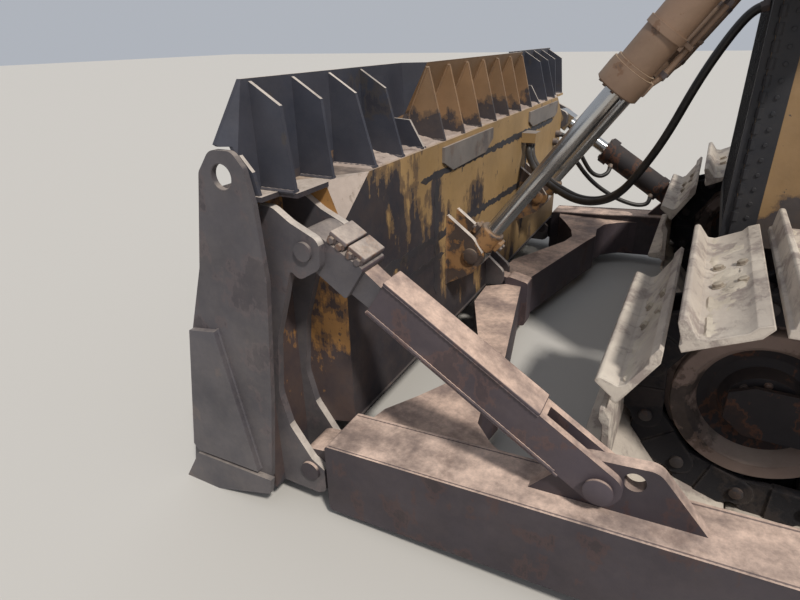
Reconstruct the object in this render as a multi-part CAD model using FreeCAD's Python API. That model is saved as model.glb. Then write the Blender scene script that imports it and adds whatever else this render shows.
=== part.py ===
import FreeCAD
import Part
import math
import os

# Wide-track bulldozer with a semi-U blade. Millimetres, +X forward, +Y left, +Z up.
# The origin is on the ground, under the middle of the machine's length.

# Overall places
NOSE_X = 2970.0
TAIL_X = -2970.0

# Tracks
TRACK_Y = 1055.0
SHOE_WIDTH = 950.0
SHOE_COUNT = 40
PITCH = 222.0
TEETH = 21
PLATE_T = 24.0
GROUSER_H = 75.0
RAIL_OUT = 80.0
RAIL_IN = 58.0
RAIL_Y = 62.0
RAIL_T = 46.0
BUSH_R = 29.0
IDLER_X = 900.0
PIN_R = TEETH * PITCH / (4 * math.pi)
WHEELBASE = (SHOE_COUNT * PITCH - 2 * math.pi * PIN_R) / 2
SPROCKET_X = IDLER_X - WHEELBASE
AXLE_Z = PIN_R + RAIL_OUT + PLATE_T + GROUSER_H
SEAT = 0.3

# Track frames and rollers
FRAME_Y = 125.0
FRAME_T = 18.0
FRAME_TOP = 700.0
FRAME_BOTTOM = 285.0
ROLLER_R = 102.0
ROLLER_COUNT = 8
CARRIER_R = 75.0
CARRIER_COUNT = 2
SHAFT_R = 34.0
IDLER_FLANGE = 26.0

# Hull
HULL_Y = 350.0
HULL_BOTTOM = 430.0
HULL_TOP = 1120.0
HULL_REAR = -2700.0
HULL_FRONT = -1250.0
BEAM_T = 90.0
BEAM_BOTTOM = 640.0
BEAM_TOP = 900.0
BEAM_FRONT = 1060.0
BELLY_T = 20.0
BAR_X = 430.0
CROSS_R = 95.0

# Radiator guard and engine hood
GUARD_FRONT = 1080.0
GUARD_REAR = 740.0
GUARD_Y = 480.0
GUARD_T = 22.0
GUARD_TOP = 2150.0
GRILLE_T = 30.0
HOOD_REAR = -300.0
HOOD_Y = 470.0
HOOD_TOP = 2040.0
HOOD_DROP = 90.0
PANEL_T = 8.0
PANEL_BOTTOM = 1150.0

# Platform, cab and tanks
DECK_Z = 1200.0
DECK_T = 16.0
DECK_FRONT = -300.0
DECK_REAR = -2660.0
DECK_Y = 1500.0
CAB_FRONT = -340.0
CAB_REAR = -1700.0
CAB_Y = 770.0
CAB_TOP = 2990.0
CAB_WALL = 45.0
ROOF_T = 95.0
DOOR_FRONT = -500.0
DOOR_REAR = -1500.0
DOOR_TOP = 2880.0
DOOR_BOTTOM = 1290.0
DOOR_GAP = 8.0
GLASS_T = 6.0
HINGE_R = 17.0
HINGE_Y = CAB_Y + 22.0
TANK_FRONT = -1790.0
TANK_Y = 600.0
TANK_TOP = 2080.0

# Push frame
PIVOT_X = -1700.0
PIVOT_Z = 430.0
ARM_W = 230.0
ARM_GAP = 30.0
ARM_Y = TRACK_Y + SHOE_WIDTH / 2 + ARM_GAP + ARM_W / 2
ARM_H = 310.0
ARM_NOSE_Z = 195.0
BALL_R = 105.0
PIVOT_GAP = 0.05

# Blade: a box on the back, a curved board in front, plates at the ends
BACK_X = 2275.0
BLADE_REACH = 174.0
BLADE_Y = ARM_Y + BLADE_REACH
END_T = 20.0
BOARD_T = 20.0
BOARD_FOOT = (2876.0, 150.0)
BOARD_BELLY = (2606.0, 690.0)
BOARD_HEAD = (2590.0, 1268.7)
BOX_TOP = 1285.0
BOX_BOTTOM = 315.0
BOX_T = 16.0
POCKET_X = 2500.0
SHELF_X = 2390.0
BRACKET_Y = 70.0
BRACKET_T = 30.0
BRACKET_IN = ARM_Y - BRACKET_Y - BRACKET_T
PATCH_T = 12.0
PATCHES = [
    [(85, 1262), (85, 1206), (200, 1150), (640, 1144), (744, 1195), (744, 1262)],
    [(-1360, 1262), (-1360, 1180), (-1300, 1160), (-700, 1164), (-629, 1200), (-629, 1262)],
]
CORNER_RUN = 190.0
CORNER_DROP = 146.0
CORNER_DEPTH = 60.0
BIT_W = 300.0
SIDE_BIT_T = 24.0
EYE_X = 2522.0
EYE_Z = 1340.0
EYE_R = 40.0

# Blade guard: wings that stand upright, a middle that leans back above the knee
GUARD_X = 2463.0
WING_TOP_Z = 1615.0
WING_CORNER_Y = BLADE_Y - 74.0
WING_TIP = (2524.0, BLADE_Y, 1436.0)
KNEE_Z = 1400.0
KNEE_Y = 745.0
LEAN_X = 2365.0
LEAN_Y = 714.0
LEAN_SPREAD = 55.0
PLATE_G = 14.0
RIB_T = 14.0
RIB_FOOT_X = 2281.0

# Blade brace and tilt cylinder
BRACE_PIN = (1326.0, 500.0)
BRACE_HEAD = (2292.0, 1110.0)
BRACE_W = 100.0
BRACE_H = 130.0
NECK_REACH = 265.0
LUG_T = 46.0
STRUT_PIN_R = 32.0
NOSE_PIN = (BACK_X + 84.0, ARM_NOSE_Z)
NOSE_PIN_R = 40.0

# Lift cylinders
LIFT_Y = 600.0
LIFT_PIN = (2148.0, 740.0)
YOKE = (1180.0, 2072.0)
LIFT_BORE_R = 62.0
LIFT_WALL = 14.0
LIFT_ROD_R = 40.0
GLAND_REACH = 683.0
TAIL_REACH = 600.0
LIFT_EYE_R = 66.0
LIFT_EYE_W = 84.0
TRUNNION_R = 38.0
EAR_T = 28.0
EAR_GAP = 8.0

# Hoses. Columns: x, y, z
HOSE_R = 19.0
HOSE_GAP = 46.0
HOSE_SIDES = 8
BLADE_HOSE = [
    (1110.3, 250, 1800), (1150, 250, 1800), (1215, 232, 1715), (1306, 200, 1531), (1400, 150, 1270),
    (1493, 100, 1089), (1580, 50, 955), (1690, -10, 890), (1810, -80, 872), (1932, -180, 890),
    (2050, -300, 915), (2150, -420, 960), (2215, -520, 1010), (2228, -560, 1055), (2228, -560, 1089.7),
]
TILT_HOSES = [
    [(2250, -1440, 1010), (2215, -1440, 1010), (2110, -1455, 930), (2040, -1475, 800), (1980, -1495, 715),
     (1915, -1520, 690), (1875, -1545, 710), (1862, -1571, 734), (1862, -1603, 766)],
    [(2250, -1370, 960), (2215, -1370, 960), (2120, -1390, 860), (1980, -1420, 680), (1800, -1450, 560),
     (1640, -1490, 500), (1555, -1530, 500), (1535, -1571, 528), (1535, -1603, 560)],
]

def vec(x, y, z):
    return FreeCAD.Vector(x, y, z)


def box(x0, x1, y0, y1, z0, z1):
    return Part.makeBox(x1 - x0, y1 - y0, z1 - z0, vec(x0, y0, z0))


def sheet(points):
    """A flat face with straight sides through the points."""
    return Part.Face(Part.makePolygon(points + [points[0]]))


def side_plate(outline, y0, y1):
    """A plate in the XZ plane. The outline's columns are x, z."""
    return sheet([vec(x, y0, z) for x, z in outline]).extrude(vec(0, y1 - y0, 0))


def flat_plate(outline, z0, z1):
    """A plate in the XY plane. The outline's columns are x, y."""
    return sheet([vec(x, y, z0) for x, y in outline]).extrude(vec(0, 0, z1 - z0))


def cross_plate(outline, x0, x1):
    """A plate in the YZ plane. The outline's columns are y, z."""
    return sheet([vec(x0, y, z) for y, z in outline]).extrude(vec(x1 - x0, 0, 0))


def rounded(outline):
    """The XZ wire whose corners are rounded. Columns: x, z, radius."""
    count = len(outline)
    edges = []
    ends = []
    for i, (x, z, radius) in enumerate(outline):
        here = vec(x, 0, z)
        before = vec(outline[i - 1][0], 0, outline[i - 1][1]) - here
        after = vec(outline[(i + 1) % count][0], 0, outline[(i + 1) % count][1]) - here
        if radius <= 0:
            ends.append((here, here, here))
            continue
        half = before.getAngle(after) / 2
        run = radius / math.tan(half)
        before.normalize()
        after.normalize()
        middle = before + after
        middle.normalize()
        crown = here + middle * (radius / math.sin(half) - radius)
        ends.append((here + before * run, crown, here + after * run))
    for i, (start, crown, stop) in enumerate(ends):
        if start.distanceToPoint(stop) > 1e-6:
            edges.append(Part.Arc(start, crown, stop).toShape())
        following = ends[(i + 1) % count][0]
        edges.append(Part.makeLine(stop, following))
    return Part.Wire(edges)


def soft_plate(outline, y0, y1):
    """A side plate with rounded corners. Columns: x, z, radius."""
    plate = Part.Face(rounded(outline)).extrude(vec(0, y1 - y0, 0))
    plate.translate(vec(0, y0, 0))
    return plate


def pin_y(x, z, radius, y0, y1):
    return Part.makeCylinder(radius, y1 - y0, vec(x, y0, z), vec(0, 1, 0))


def rod(start, stop, radius):
    axis = stop - start
    return Part.makeCylinder(radius, axis.Length, start, axis)


def hose(points, radius, shift=0.0):
    """A many-sided tube through the points, moved sideways by a shift."""
    line = [vec(*p) for p in points]
    rings = []
    for i, here in enumerate(line):
        along = line[min(i + 1, len(line) - 1)] - line[max(i - 1, 0)]
        along.normalize()
        out = vec(0, 1, 0) - along * along.y
        out.normalize()
        up = along.cross(out)
        turns = [2 * math.pi * (k + 0.5) / HOSE_SIDES for k in range(HOSE_SIDES + 1)]
        rings.append(Part.makePolygon([here + out * (shift + radius * math.cos(t)) + up * (radius * math.sin(t))
                                       for t in turns]))
    return Part.makeLoft(rings, True, True)


def other_side(shape):
    return shape.mirror(vec(0, 0, 0), vec(0, 1, 0))


def both(shape):
    return Part.makeCompound([shape, other_side(shape)])


def fused(shapes):
    return shapes[0].multiFuse(shapes[1:]).removeSplitter()


def apart(shapes):
    return Part.makeCompound(shapes)


# Tracks


def path_point(travel):
    """The pin line, from the sprocket's top forward over the idler and back."""
    around = math.pi * PIN_R
    travel = travel % (2 * (WHEELBASE + around))
    if travel < WHEELBASE:
        return SPROCKET_X + travel, AXLE_Z + PIN_R
    travel -= WHEELBASE
    if travel < around:
        turn = travel / PIN_R
        return IDLER_X + PIN_R * math.sin(turn), AXLE_Z + PIN_R * math.cos(turn)
    travel -= around
    if travel < WHEELBASE:
        return IDLER_X - travel, AXLE_Z - PIN_R
    turn = (travel - WHEELBASE) / PIN_R
    return SPROCKET_X - PIN_R * math.sin(turn), AXLE_Z - PIN_R * math.cos(turn)


def pins():
    return [path_point(i * PITCH) for i in range(SHOE_COUNT)]


def shoe_outline():
    """One shoe seen from the side. Columns: along the pitch, out from the rail."""
    half = PITCH / 2
    return [
        (-half, PLATE_T),
        (half - 64, PLATE_T),
        (half - 40, PLATE_T + GROUSER_H),
        (half - 24, PLATE_T + GROUSER_H),
        (half - 14, PLATE_T),
        (half, PLATE_T),
    ]


def link_frames():
    """Middle, direction and outward normal of each link."""
    places = pins()
    frames = []
    for i, (x0, z0) in enumerate(places):
        x1, z1 = places[(i + 1) % SHOE_COUNT]
        length = math.hypot(x1 - x0, z1 - z0)
        along = ((x1 - x0) / length, (z1 - z0) / length)
        frames.append(((x0 + x1) / 2, (z0 + z1) / 2, along, (-along[1], along[0])))
    return frames


def on_link(frame, along, out):
    x, z, direction, normal = frame
    return (x + direction[0] * along + normal[0] * out, z + direction[1] * along + normal[1] * out)


def ring(outer, inner, y0, y1):
    return side_plate(outer, y0, y1).cut(side_plate(inner, y0 - 1, y1 + 1))


def track():
    frames = link_frames()
    half = PITCH / 2
    shoes = [on_link(f, a, RAIL_OUT + n) for f in frames for a, n in shoe_outline()]
    seat = [on_link(f, a, RAIL_OUT) for f in frames for a in (-half, half)]
    runs = [on_link(f, 0, -RAIL_IN) for f in frames]
    low = TRACK_Y - SHOE_WIDTH / 2
    pieces = [ring(shoes, seat, low, low + SHOE_WIDTH)]
    for side in (-1, 1):
        middle = TRACK_Y + side * (RAIL_Y + RAIL_T / 2)
        pieces.append(ring(seat, runs, middle - RAIL_T / 2, middle + RAIL_T / 2))
    for x, z in pins():
        bush = [(x + BUSH_R * math.cos(math.radians(60 * k)), z + BUSH_R * math.sin(math.radians(60 * k)))
                for k in range(6)]
        pieces.append(side_plate(bush, TRACK_Y - RAIL_Y - 1, TRACK_Y + RAIL_Y + 1))
    return pieces[0].multiFuse(pieces[1:])


def wheel_radius():
    """Where the rail's inner edge runs on the idler."""
    lean = math.cos(PITCH / PIN_R / 2)
    return (PIN_R * lean - RAIL_IN) * lean - SEAT


def stepped(steps, x, y, z, sides):
    """Many-sided drums on one Y axis. Columns: start and end along Y, radius to the flats."""
    drums = []
    for start, stop, flat in steps:
        radius = flat / math.cos(math.pi / sides)
        turns = [math.pi * (2 * k + 1) / sides - math.pi / 2 for k in range(sides)]
        outline = [(x + radius * math.cos(t), z + radius * math.sin(t)) for t in turns]
        drums.append(side_plate(outline, y + start, y + stop))
    return fused(drums)


def idler():
    tread = wheel_radius()
    width = RAIL_Y + RAIL_T
    hub = FRAME_Y - SEAT
    steps = [(-hub, hub, 92), (-48, 48, tread - 40), (-width, width, tread - 12),
             (10 - RAIL_Y, RAIL_Y - 10, tread + IDLER_FLANGE)]
    return stepped(steps, IDLER_X, TRACK_Y, AXLE_Z, 28)


def sprocket():
    """A toothed ring: the bushings sit in every second gap between teeth."""
    step = 360.0 / TEETH
    root = PIN_R - BUSH_R - 3
    tip = PIN_R + 16
    outline = []
    for k in range(TEETH):
        gap = 90 + k * step
        for offset, radius in ((-0.26, root), (0.26, root), (0.42, tip), (0.58, tip)):
            turn = math.radians(gap + offset * step)
            outline.append((SPROCKET_X + radius * math.cos(turn), AXLE_Z + radius * math.sin(turn)))
    body = side_plate(outline, TRACK_Y - 34, TRACK_Y + 34)
    bore = pin_y(SPROCKET_X, AXLE_Z, 170, TRACK_Y - 40, TRACK_Y + 40)
    return body.cut(bore)


def final_drive():
    """The hub that carries the sprocket, from the hull's side to the outer cap."""
    steps = [(HULL_Y - TRACK_Y, -34, 215), (-110, -34, 265), (-34, 34, 168), (34, 70, 240), (70, 130, 180),
             (130, 150, 90)]
    return stepped(steps, SPROCKET_X, TRACK_Y, AXLE_Z, 24)


def rollers():
    low_rail = AXLE_Z - PIN_R + RAIL_IN
    high_rail = AXLE_Z + PIN_R - RAIL_IN
    first = SPROCKET_X + 520
    last = IDLER_X - 480
    half = FRAME_Y - SEAT
    shapes = []
    for i in range(ROLLER_COUNT):
        x = first + (last - first) * i / (ROLLER_COUNT - 1)
        steps = [(-half, half, SHAFT_R), (-110, -RAIL_Y + 4, ROLLER_R), (4 - RAIL_Y, RAIL_Y - 4, 88),
                 (RAIL_Y - 4, 110, ROLLER_R)]
        shapes.append(stepped(steps, x, TRACK_Y, low_rail + ROLLER_R + SEAT, 12))
    for i in range(CARRIER_COUNT):
        x = SPROCKET_X + WHEELBASE * (i + 1) / (CARRIER_COUNT + 1)
        shapes.append(stepped([(-110, 110, CARRIER_R)], x, TRACK_Y, high_rail - CARRIER_R - SEAT, 12))
    return apart(shapes)


def track_frame():
    """The roller frame: a closed beam, side skirts, the idler's fork and the push-arm trunnion."""
    rear = SPROCKET_X + 420
    front = IDLER_X - 380
    beam_low = AXLE_Z - PIN_R + RAIL_IN + 2 * ROLLER_R + 15
    parts = [box(rear, front, TRACK_Y - FRAME_Y, TRACK_Y + FRAME_Y, beam_low, FRAME_TOP)]
    for side in (-1, 1):
        face = TRACK_Y + side * FRAME_Y
        y0, y1 = sorted((face, face + side * FRAME_T))
        skirt = [
            (rear, FRAME_BOTTOM + 60), (rear + 80, FRAME_BOTTOM), (front - 60, FRAME_BOTTOM),
            (front + 120, AXLE_Z - 95), (IDLER_X + 40, AXLE_Z - 95), (IDLER_X + 110, AXLE_Z - 40),
            (IDLER_X + 110, AXLE_Z + 60), (IDLER_X + 40, AXLE_Z + 95), (front + 60, AXLE_Z + 95),
            (front - 40, FRAME_TOP), (rear + 60, FRAME_TOP), (rear, FRAME_TOP - 60),
        ]
        parts.append(side_plate(skirt, y0, y1))
    for i in range(CARRIER_COUNT):
        x = SPROCKET_X + WHEELBASE * (i + 1) / (CARRIER_COUNT + 1)
        high_rail = AXLE_Z + PIN_R - RAIL_IN
        z = high_rail - CARRIER_R
        stand = TRACK_Y + 110 + SEAT
        parts.append(box(x - 45, x + 45, stand, stand + 30, FRAME_TOP - 5, z + 45))
    parts.append(pin_y(PIVOT_X, PIVOT_Z, BALL_R * 0.72, TRACK_Y + FRAME_Y, ARM_Y - ARM_W / 2 + 10))
    parts.append(pin_y(PIVOT_X, PIVOT_Z, BALL_R, ARM_Y - ARM_W / 2 + 10, ARM_Y + ARM_W / 2 - 30))
    return fused(parts)


# Hull, radiator guard and hood


def main_frame():
    """The gear case at the rear, two beams to the front, belly plate and cross shafts."""
    case = [
        (HULL_REAR, HULL_BOTTOM + 120), (HULL_REAR + 120, HULL_BOTTOM), (HULL_FRONT, HULL_BOTTOM),
        (HULL_FRONT, HULL_TOP), (HULL_REAR + 60, HULL_TOP), (HULL_REAR, HULL_TOP - 80),
    ]
    parts = [side_plate(case, -HULL_Y, HULL_Y)]
    for side in (-1, 1):
        y0, y1 = sorted((side * HULL_Y, side * (HULL_Y - BEAM_T)))
        beam = [
            (HULL_FRONT, HULL_BOTTOM), (BEAM_FRONT - 260, HULL_BOTTOM), (BEAM_FRONT, BEAM_BOTTOM),
            (BEAM_FRONT, BEAM_TOP), (HULL_FRONT, BEAM_TOP),
        ]
        parts.append(side_plate(beam, y0, y1))
    inner = HULL_Y - BEAM_T
    parts.append(box(HULL_FRONT, BEAM_FRONT - 260, -inner, inner, HULL_BOTTOM, HULL_BOTTOM + BELLY_T))
    parts.append(box(BEAM_FRONT - 40, BEAM_FRONT, -inner, inner, BEAM_BOTTOM, BEAM_TOP))
    reach = TRACK_Y - FRAME_Y - FRAME_T
    parts.append(pin_y(HULL_FRONT - 200, AXLE_Z, CROSS_R, HULL_Y, reach))
    parts.append(pin_y(HULL_FRONT - 200, AXLE_Z, CROSS_R, -reach, -HULL_Y))
    parts.append(box(BAR_X - 70, BAR_X + 70, HULL_Y, reach, AXLE_Z - 60, AXLE_Z + 60))
    parts.append(box(BAR_X - 70, BAR_X + 70, -reach, -HULL_Y, AXLE_Z - 60, AXLE_Z + 60))
    return fused(parts)


def radiator_guard():
    """Side plates, top and sill around the core, with a frame that holds the grille."""
    side = [
        (GUARD_REAR, BEAM_TOP), (GUARD_FRONT, BEAM_TOP), (GUARD_FRONT, GUARD_TOP - 60),
        (GUARD_FRONT - 60, GUARD_TOP), (GUARD_REAR, GUARD_TOP),
    ]
    outer = side_plate(side, -GUARD_Y, GUARD_Y)
    room = [
        (GUARD_REAR - 1, BEAM_TOP + 60), (GUARD_FRONT + 1, BEAM_TOP + 60), (GUARD_FRONT + 1, GUARD_TOP - 90),
        (GUARD_REAR - 1, GUARD_TOP - 90),
    ]
    return outer.cut(side_plate(room, GUARD_T - GUARD_Y, GUARD_Y - GUARD_T))


def grille():
    """Upright bars between two rails, in front of the core."""
    y = GUARD_Y - 6
    low, high = BEAM_TOP + 12, GUARD_TOP - 70
    front = GUARD_FRONT + GRILLE_T
    frame = box(GUARD_FRONT, front, -y, y, low, high)
    frame = frame.cut(box(GUARD_FRONT - 1, front + 1, -y + 46, y - 46, low + 60, high - 60))
    bars = 11
    inner = 2 * (y - 46)
    parts = [frame]
    for i in range(bars):
        middle = -y + 46 + inner * (i + 0.5) / bars
        parts.append(box(GUARD_FRONT + 6, front - 4, middle - 13, middle + 13, low + 50, high - 50))
    return fused(parts)


def radiator_core():
    inner = GUARD_Y - GUARD_T
    return box(GUARD_REAR + 60, GUARD_FRONT - 90, -inner, inner, BEAM_TOP + 60, GUARD_TOP - 90)


def hood_top(x):
    share = (x - HOOD_REAR) / (GUARD_REAR - HOOD_REAR)
    return HOOD_TOP - HOOD_DROP * share


def hood():
    """The engine's top panel, dropping to the front, with folded edges."""
    outline = [(-HOOD_Y, -70), (-HOOD_Y, -22), (-HOOD_Y + 26, 0), (HOOD_Y - 26, 0), (HOOD_Y, -22),
               (HOOD_Y, -70)]
    inside = [(y * (HOOD_Y - PANEL_T) / HOOD_Y, drop - PANEL_T) for y, drop in outline]
    ends = []
    for x in (HOOD_REAR, GUARD_REAR):
        top = hood_top(x)
        ring_points = outline + [inside[k] for k in range(len(inside) - 1, -1, -1)]
        ring_points[-1] = (ring_points[-1][0], outline[0][1])
        ring_points[len(outline)] = (ring_points[len(outline)][0], outline[-1][1])
        ends.append(Part.makePolygon([vec(x, y, top + drop) for y, drop in ring_points + [ring_points[0]]]))
    return Part.makeLoft(ends, True, True)


def engine_panels():
    """The side covers under the hood, with cooling slots."""
    outline = [
        (HOOD_REAR, PANEL_BOTTOM), (GUARD_REAR, PANEL_BOTTOM), (GUARD_REAR, hood_top(GUARD_REAR) - 70),
        (HOOD_REAR, hood_top(HOOD_REAR) - 70),
    ]
    panel = side_plate(outline, HOOD_Y - PANEL_T, HOOD_Y)
    slots = [box(x, x + 190, HOOD_Y - 20, HOOD_Y + 20, z, z + 16)
             for x in (120, 400) for z in range(1330, 1750, 52)]
    return both(panel.cut(Part.makeCompound(slots)))


def engine_block():
    sump = box(-180, 640, -HULL_Y + 40, HULL_Y - 40, BEAM_TOP, 1180)
    head = box(-150, 600, -230, 230, 1180, 1800)
    return fused([sump, head])


def exhaust_stack():
    x, y = 260.0, -170.0
    foot = hood_top(x) - 3
    can = Part.makeCylinder(98, 330, vec(x, y, foot + 60))
    pipe = Part.makeCylinder(52, 620, vec(x, y, foot + 330))
    seat = Part.makeCylinder(70, 70, vec(x, y, foot))
    level = flat_plate([(x - 200, y - 200), (x + 200, y - 200), (x + 200, y + 200), (x - 200, y + 200)],
                       foot - 60, hood_top(x - 70) + SEAT)
    stack = fused([seat, can, pipe]).cut(level)
    cut_end = Part.makeBox(300, 300, 300, vec(x - 150, y - 150, foot + 920))
    cut_end.rotate(vec(x, y, foot + 900), vec(0, 1, 0), -28)
    return stack.cut(cut_end)


def air_precleaner():
    x, y = 20.0, 170.0
    foot = hood_top(x - 75) + SEAT
    seat = Part.makeCylinder(72, 200, vec(x, y, foot))
    bowl = Part.makeCone(84, 135, 60, vec(x, y, foot + 190))
    drum = Part.makeCylinder(135, 110, vec(x, y, foot + 250))
    lid = Part.makeCone(135, 70, 45, vec(x, y, foot + 360))
    return fused([seat, bowl, drum, lid])


# Platform, cab and tanks


def platform():
    """The deck over the hull and tracks, with cross beams down to the hull."""
    half = DECK_Y
    outline = [
        (DECK_REAR, -TANK_Y - 40), (DECK_REAR, TANK_Y + 40), (DECK_REAR + 260, half),
        (DECK_FRONT - 120, half), (DECK_FRONT, half - 120), (DECK_FRONT, HOOD_Y + 20),
        (CAB_FRONT, HOOD_Y + 20), (CAB_FRONT, -HOOD_Y - 20), (DECK_FRONT, -HOOD_Y - 20),
        (DECK_FRONT, -half + 120), (DECK_FRONT - 120, -half), (DECK_REAR + 260, -half),
    ]
    parts = [flat_plate(outline, DECK_Z, DECK_Z + DECK_T)]
    for x in (HULL_FRONT - 160, HULL_REAR + 300):
        parts.append(box(x - 60, x + 60, -HULL_Y - 180, HULL_Y + 180, HULL_TOP, DECK_Z))
    for side in (-1, 1):
        y0, y1 = sorted((side * (HULL_Y - 80), side * HULL_Y))
        parts.append(box(CAB_FRONT - 90, CAB_FRONT, y0, y1, BEAM_TOP, DECK_Z))
    return fused(parts)


def hinge_heights():
    return (DOOR_BOTTOM + 160, DOOR_TOP - 260)


def cab_outline(grow):
    """The cab from above, with its front corners cut back. Columns: x, y."""
    corner = 190.0
    front, rear, y = CAB_FRONT + grow, CAB_REAR - grow, CAB_Y + grow
    return [(rear, -y), (rear, y), (front - corner, y), (front, y - corner), (front, corner - y),
            (front - corner, -y)]


def cab_shell():
    """Hollow cab: posts and sills left around the cut windows and the door openings."""
    floor = DECK_Z + DECK_T
    shell = flat_plate(cab_outline(0), floor, CAB_TOP)
    shell = shell.cut(flat_plate(cab_outline(-CAB_WALL), floor + 40, CAB_TOP + 1))
    openings = [box(DOOR_REAR, DOOR_FRONT, -CAB_Y - 9, CAB_Y + 9, DOOR_BOTTOM, DOOR_TOP)]
    for y0, y1, z0, z1 in ((-520.0, -60.0, 1780.0, 2880.0), (60.0, 520.0, 1780.0, 2880.0)):
        openings.append(box(CAB_FRONT - 120, CAB_FRONT + 9, y0, y1, z0, z1))
    openings.append(box(CAB_REAR - 9, CAB_REAR + 120, -640, 640, 1850, 2880))
    parts = [shell.cut(Part.makeCompound(openings))]
    for side in (-1, 1):
        for z in hinge_heights():
            parts.append(Part.makeCylinder(HINGE_R, 50, vec(DOOR_REAR + 2, side * HINGE_Y, z - 50 - SEAT)))
            y0, y1 = sorted((side * (CAB_Y - 2), side * HINGE_Y))
            parts.append(box(DOOR_REAR - 70, DOOR_REAR + 2, y0, y1, z - 45, z - 5))
    return fused(parts)


def cab_roof():
    slab = flat_plate(cab_outline(60), CAB_TOP, CAB_TOP + ROOF_T)
    edges = [e for e in slab.Edges if min(v.Z for v in e.Vertexes) > CAB_TOP + ROOF_T - 1]
    return slab.makeChamfer(40, edges)


def cab_glass():
    """Panes set in the middle of the wall, edge to edge with the posts."""
    middle = CAB_WALL / 2
    panes = [box(CAB_FRONT - middle - GLASS_T, CAB_FRONT - middle, y0 + SEAT, y1 - SEAT, 1780 + SEAT, 2880 - SEAT)
             for y0, y1 in ((-520.0, -60.0), (60.0, 520.0))]
    panes.append(box(CAB_REAR + middle, CAB_REAR + middle + GLASS_T, -640 + SEAT, 640 - SEAT, 1850 + SEAT,
                     2880 - SEAT))
    return apart(panes)


def door_hole():
    """The pane's opening in the door. Columns: x, z, radius."""
    rear, front = DOOR_REAR + 95, DOOR_FRONT - 85
    return [(rear, 1680, 40), (front, 1680, 40), (front, DOOR_TOP - 90, 40), (rear, DOOR_TOP - 90, 40)]


def door():
    panel = box(DOOR_REAR + DOOR_GAP, DOOR_FRONT - DOOR_GAP, CAB_Y - CAB_WALL, CAB_Y, DOOR_BOTTOM + DOOR_GAP,
                DOOR_TOP - DOOR_GAP)
    panel = panel.cut(soft_plate(door_hole(), CAB_Y - 99, CAB_Y + 9))
    parts = [panel]
    for z in hinge_heights():
        parts.append(Part.makeCylinder(HINGE_R, 110, vec(DOOR_REAR + 2, HINGE_Y, z)))
        parts.append(box(DOOR_REAR + 12, DOOR_REAR + 80, CAB_Y - 2, HINGE_Y, z + 10, z + 100))
    parts.append(box(DOOR_FRONT - 70, DOOR_FRONT - 48, CAB_Y - 2, CAB_Y + 40, 1560, 1640))
    return fused(parts)


def door_glass():
    middle = CAB_Y - CAB_WALL / 2
    trimmed = [(x + (SEAT if i in (0, 3) else -SEAT), z + (SEAT if i < 2 else -SEAT), r)
               for i, (x, z, r) in enumerate(door_hole())]
    return soft_plate(trimmed, middle - GLASS_T / 2, middle + GLASS_T / 2)


def seat():
    floor = DECK_Z + DECK_T + 40
    base = box(-1280, -900, -210, 210, floor, floor + 260)
    cushion = soft_plate([(-1330, floor + 260, 30), (-790, floor + 260, 60), (-790, floor + 390, 50),
                          (-1330, floor + 370, 30)], -260, 260)
    back = soft_plate([(-1330, floor + 330, 30), (-1230, floor + 370, 30), (-1330, floor + 1060, 40),
                       (-1430, floor + 1050, 40)], -250, 250)
    rests = [box(-1260, -880, side * 300 - 45, side * 300 + 45, floor, floor + 560) for side in (-1, 1)]
    return fused([base, cushion, back] + rests)


def console():
    floor = DECK_Z + DECK_T + 40
    rear = CAB_FRONT - CAB_WALL
    dash = side_plate([(rear - 230, floor), (rear, floor), (rear, 1740), (rear - 140, 1760),
                       (rear - 260, 1640)],
                      -430, 430)
    pedal_room = box(rear - 300, rear - 90, -330, 330, floor - 1, floor + 240)
    return dash.cut(pedal_room)


def fuel_tank():
    """The rear tank, with a sloping top edge and rounded corners, and its filler neck."""
    floor = DECK_Z + DECK_T
    outline = [
        (DECK_REAR + 90, floor, 0), (TANK_FRONT, floor, 0), (TANK_FRONT, TANK_TOP, 50),
        (DECK_REAR + 260, TANK_TOP, 90), (DECK_REAR + 90, TANK_TOP - 260, 90),
    ]
    body = soft_plate(outline, -TANK_Y, TANK_Y)
    neck = Part.makeCylinder(60, 60, vec(TANK_FRONT - 200, -380, TANK_TOP - 4))
    return fused([body, neck])


def side_box(high):
    floor = DECK_Z + DECK_T
    outline = [(-2330, floor, 0), (-1930, floor, 0), (-1930, high, 50), (-2330, high, 50)]
    return soft_plate(outline, TANK_Y + 60, DECK_Y - 150)


def drawbar():
    """A clevis on the hull's rear, with its upright pin bore."""
    tongue = flat_plate([(HULL_REAR, -150), (TAIL_X + 60, -150), (TAIL_X, -90), (TAIL_X, 90),
                         (TAIL_X + 60, 150), (HULL_REAR, 150)], 560, 760)
    slot = box(TAIL_X - 1, TAIL_X + 200, -200, 200, 610, 710)
    bore = Part.makeCylinder(27.5, 300, vec(TAIL_X + 90, 0, 500))
    return tongue.cut(slot).cut(bore)


def lamps():
    """Work lamps on the roof's edges, each with its bracket."""
    shapes = []
    top = CAB_TOP + ROOF_T
    for x, y, turn in ((CAB_FRONT - 10, 480, 1), (CAB_FRONT - 10, -480, 1), (CAB_REAR + 10, 480, -1),
                       (CAB_REAR + 10, -480, -1)):
        head = box(x - 45, x + 45, y - 85, y + 85, top + 30, top + 145)
        face = Part.makeCone(62, 56, 14, vec(x + turn * 45, y, top + 88), vec(turn, 0, 0))
        foot = box(x - 18, x + 18, y - 30, y + 30, top, top + 40)
        shapes.append(fused([head, foot, face]))
    return apart(shapes)


# Lift cylinders


def lift_axis():
    """Unit vector from the yoke to the blade pin, and the distance."""
    dx, dz = LIFT_PIN[0] - YOKE[0], LIFT_PIN[1] - YOKE[1]
    reach = math.hypot(dx, dz)
    return vec(dx / reach, 0, dz / reach), reach


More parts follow.
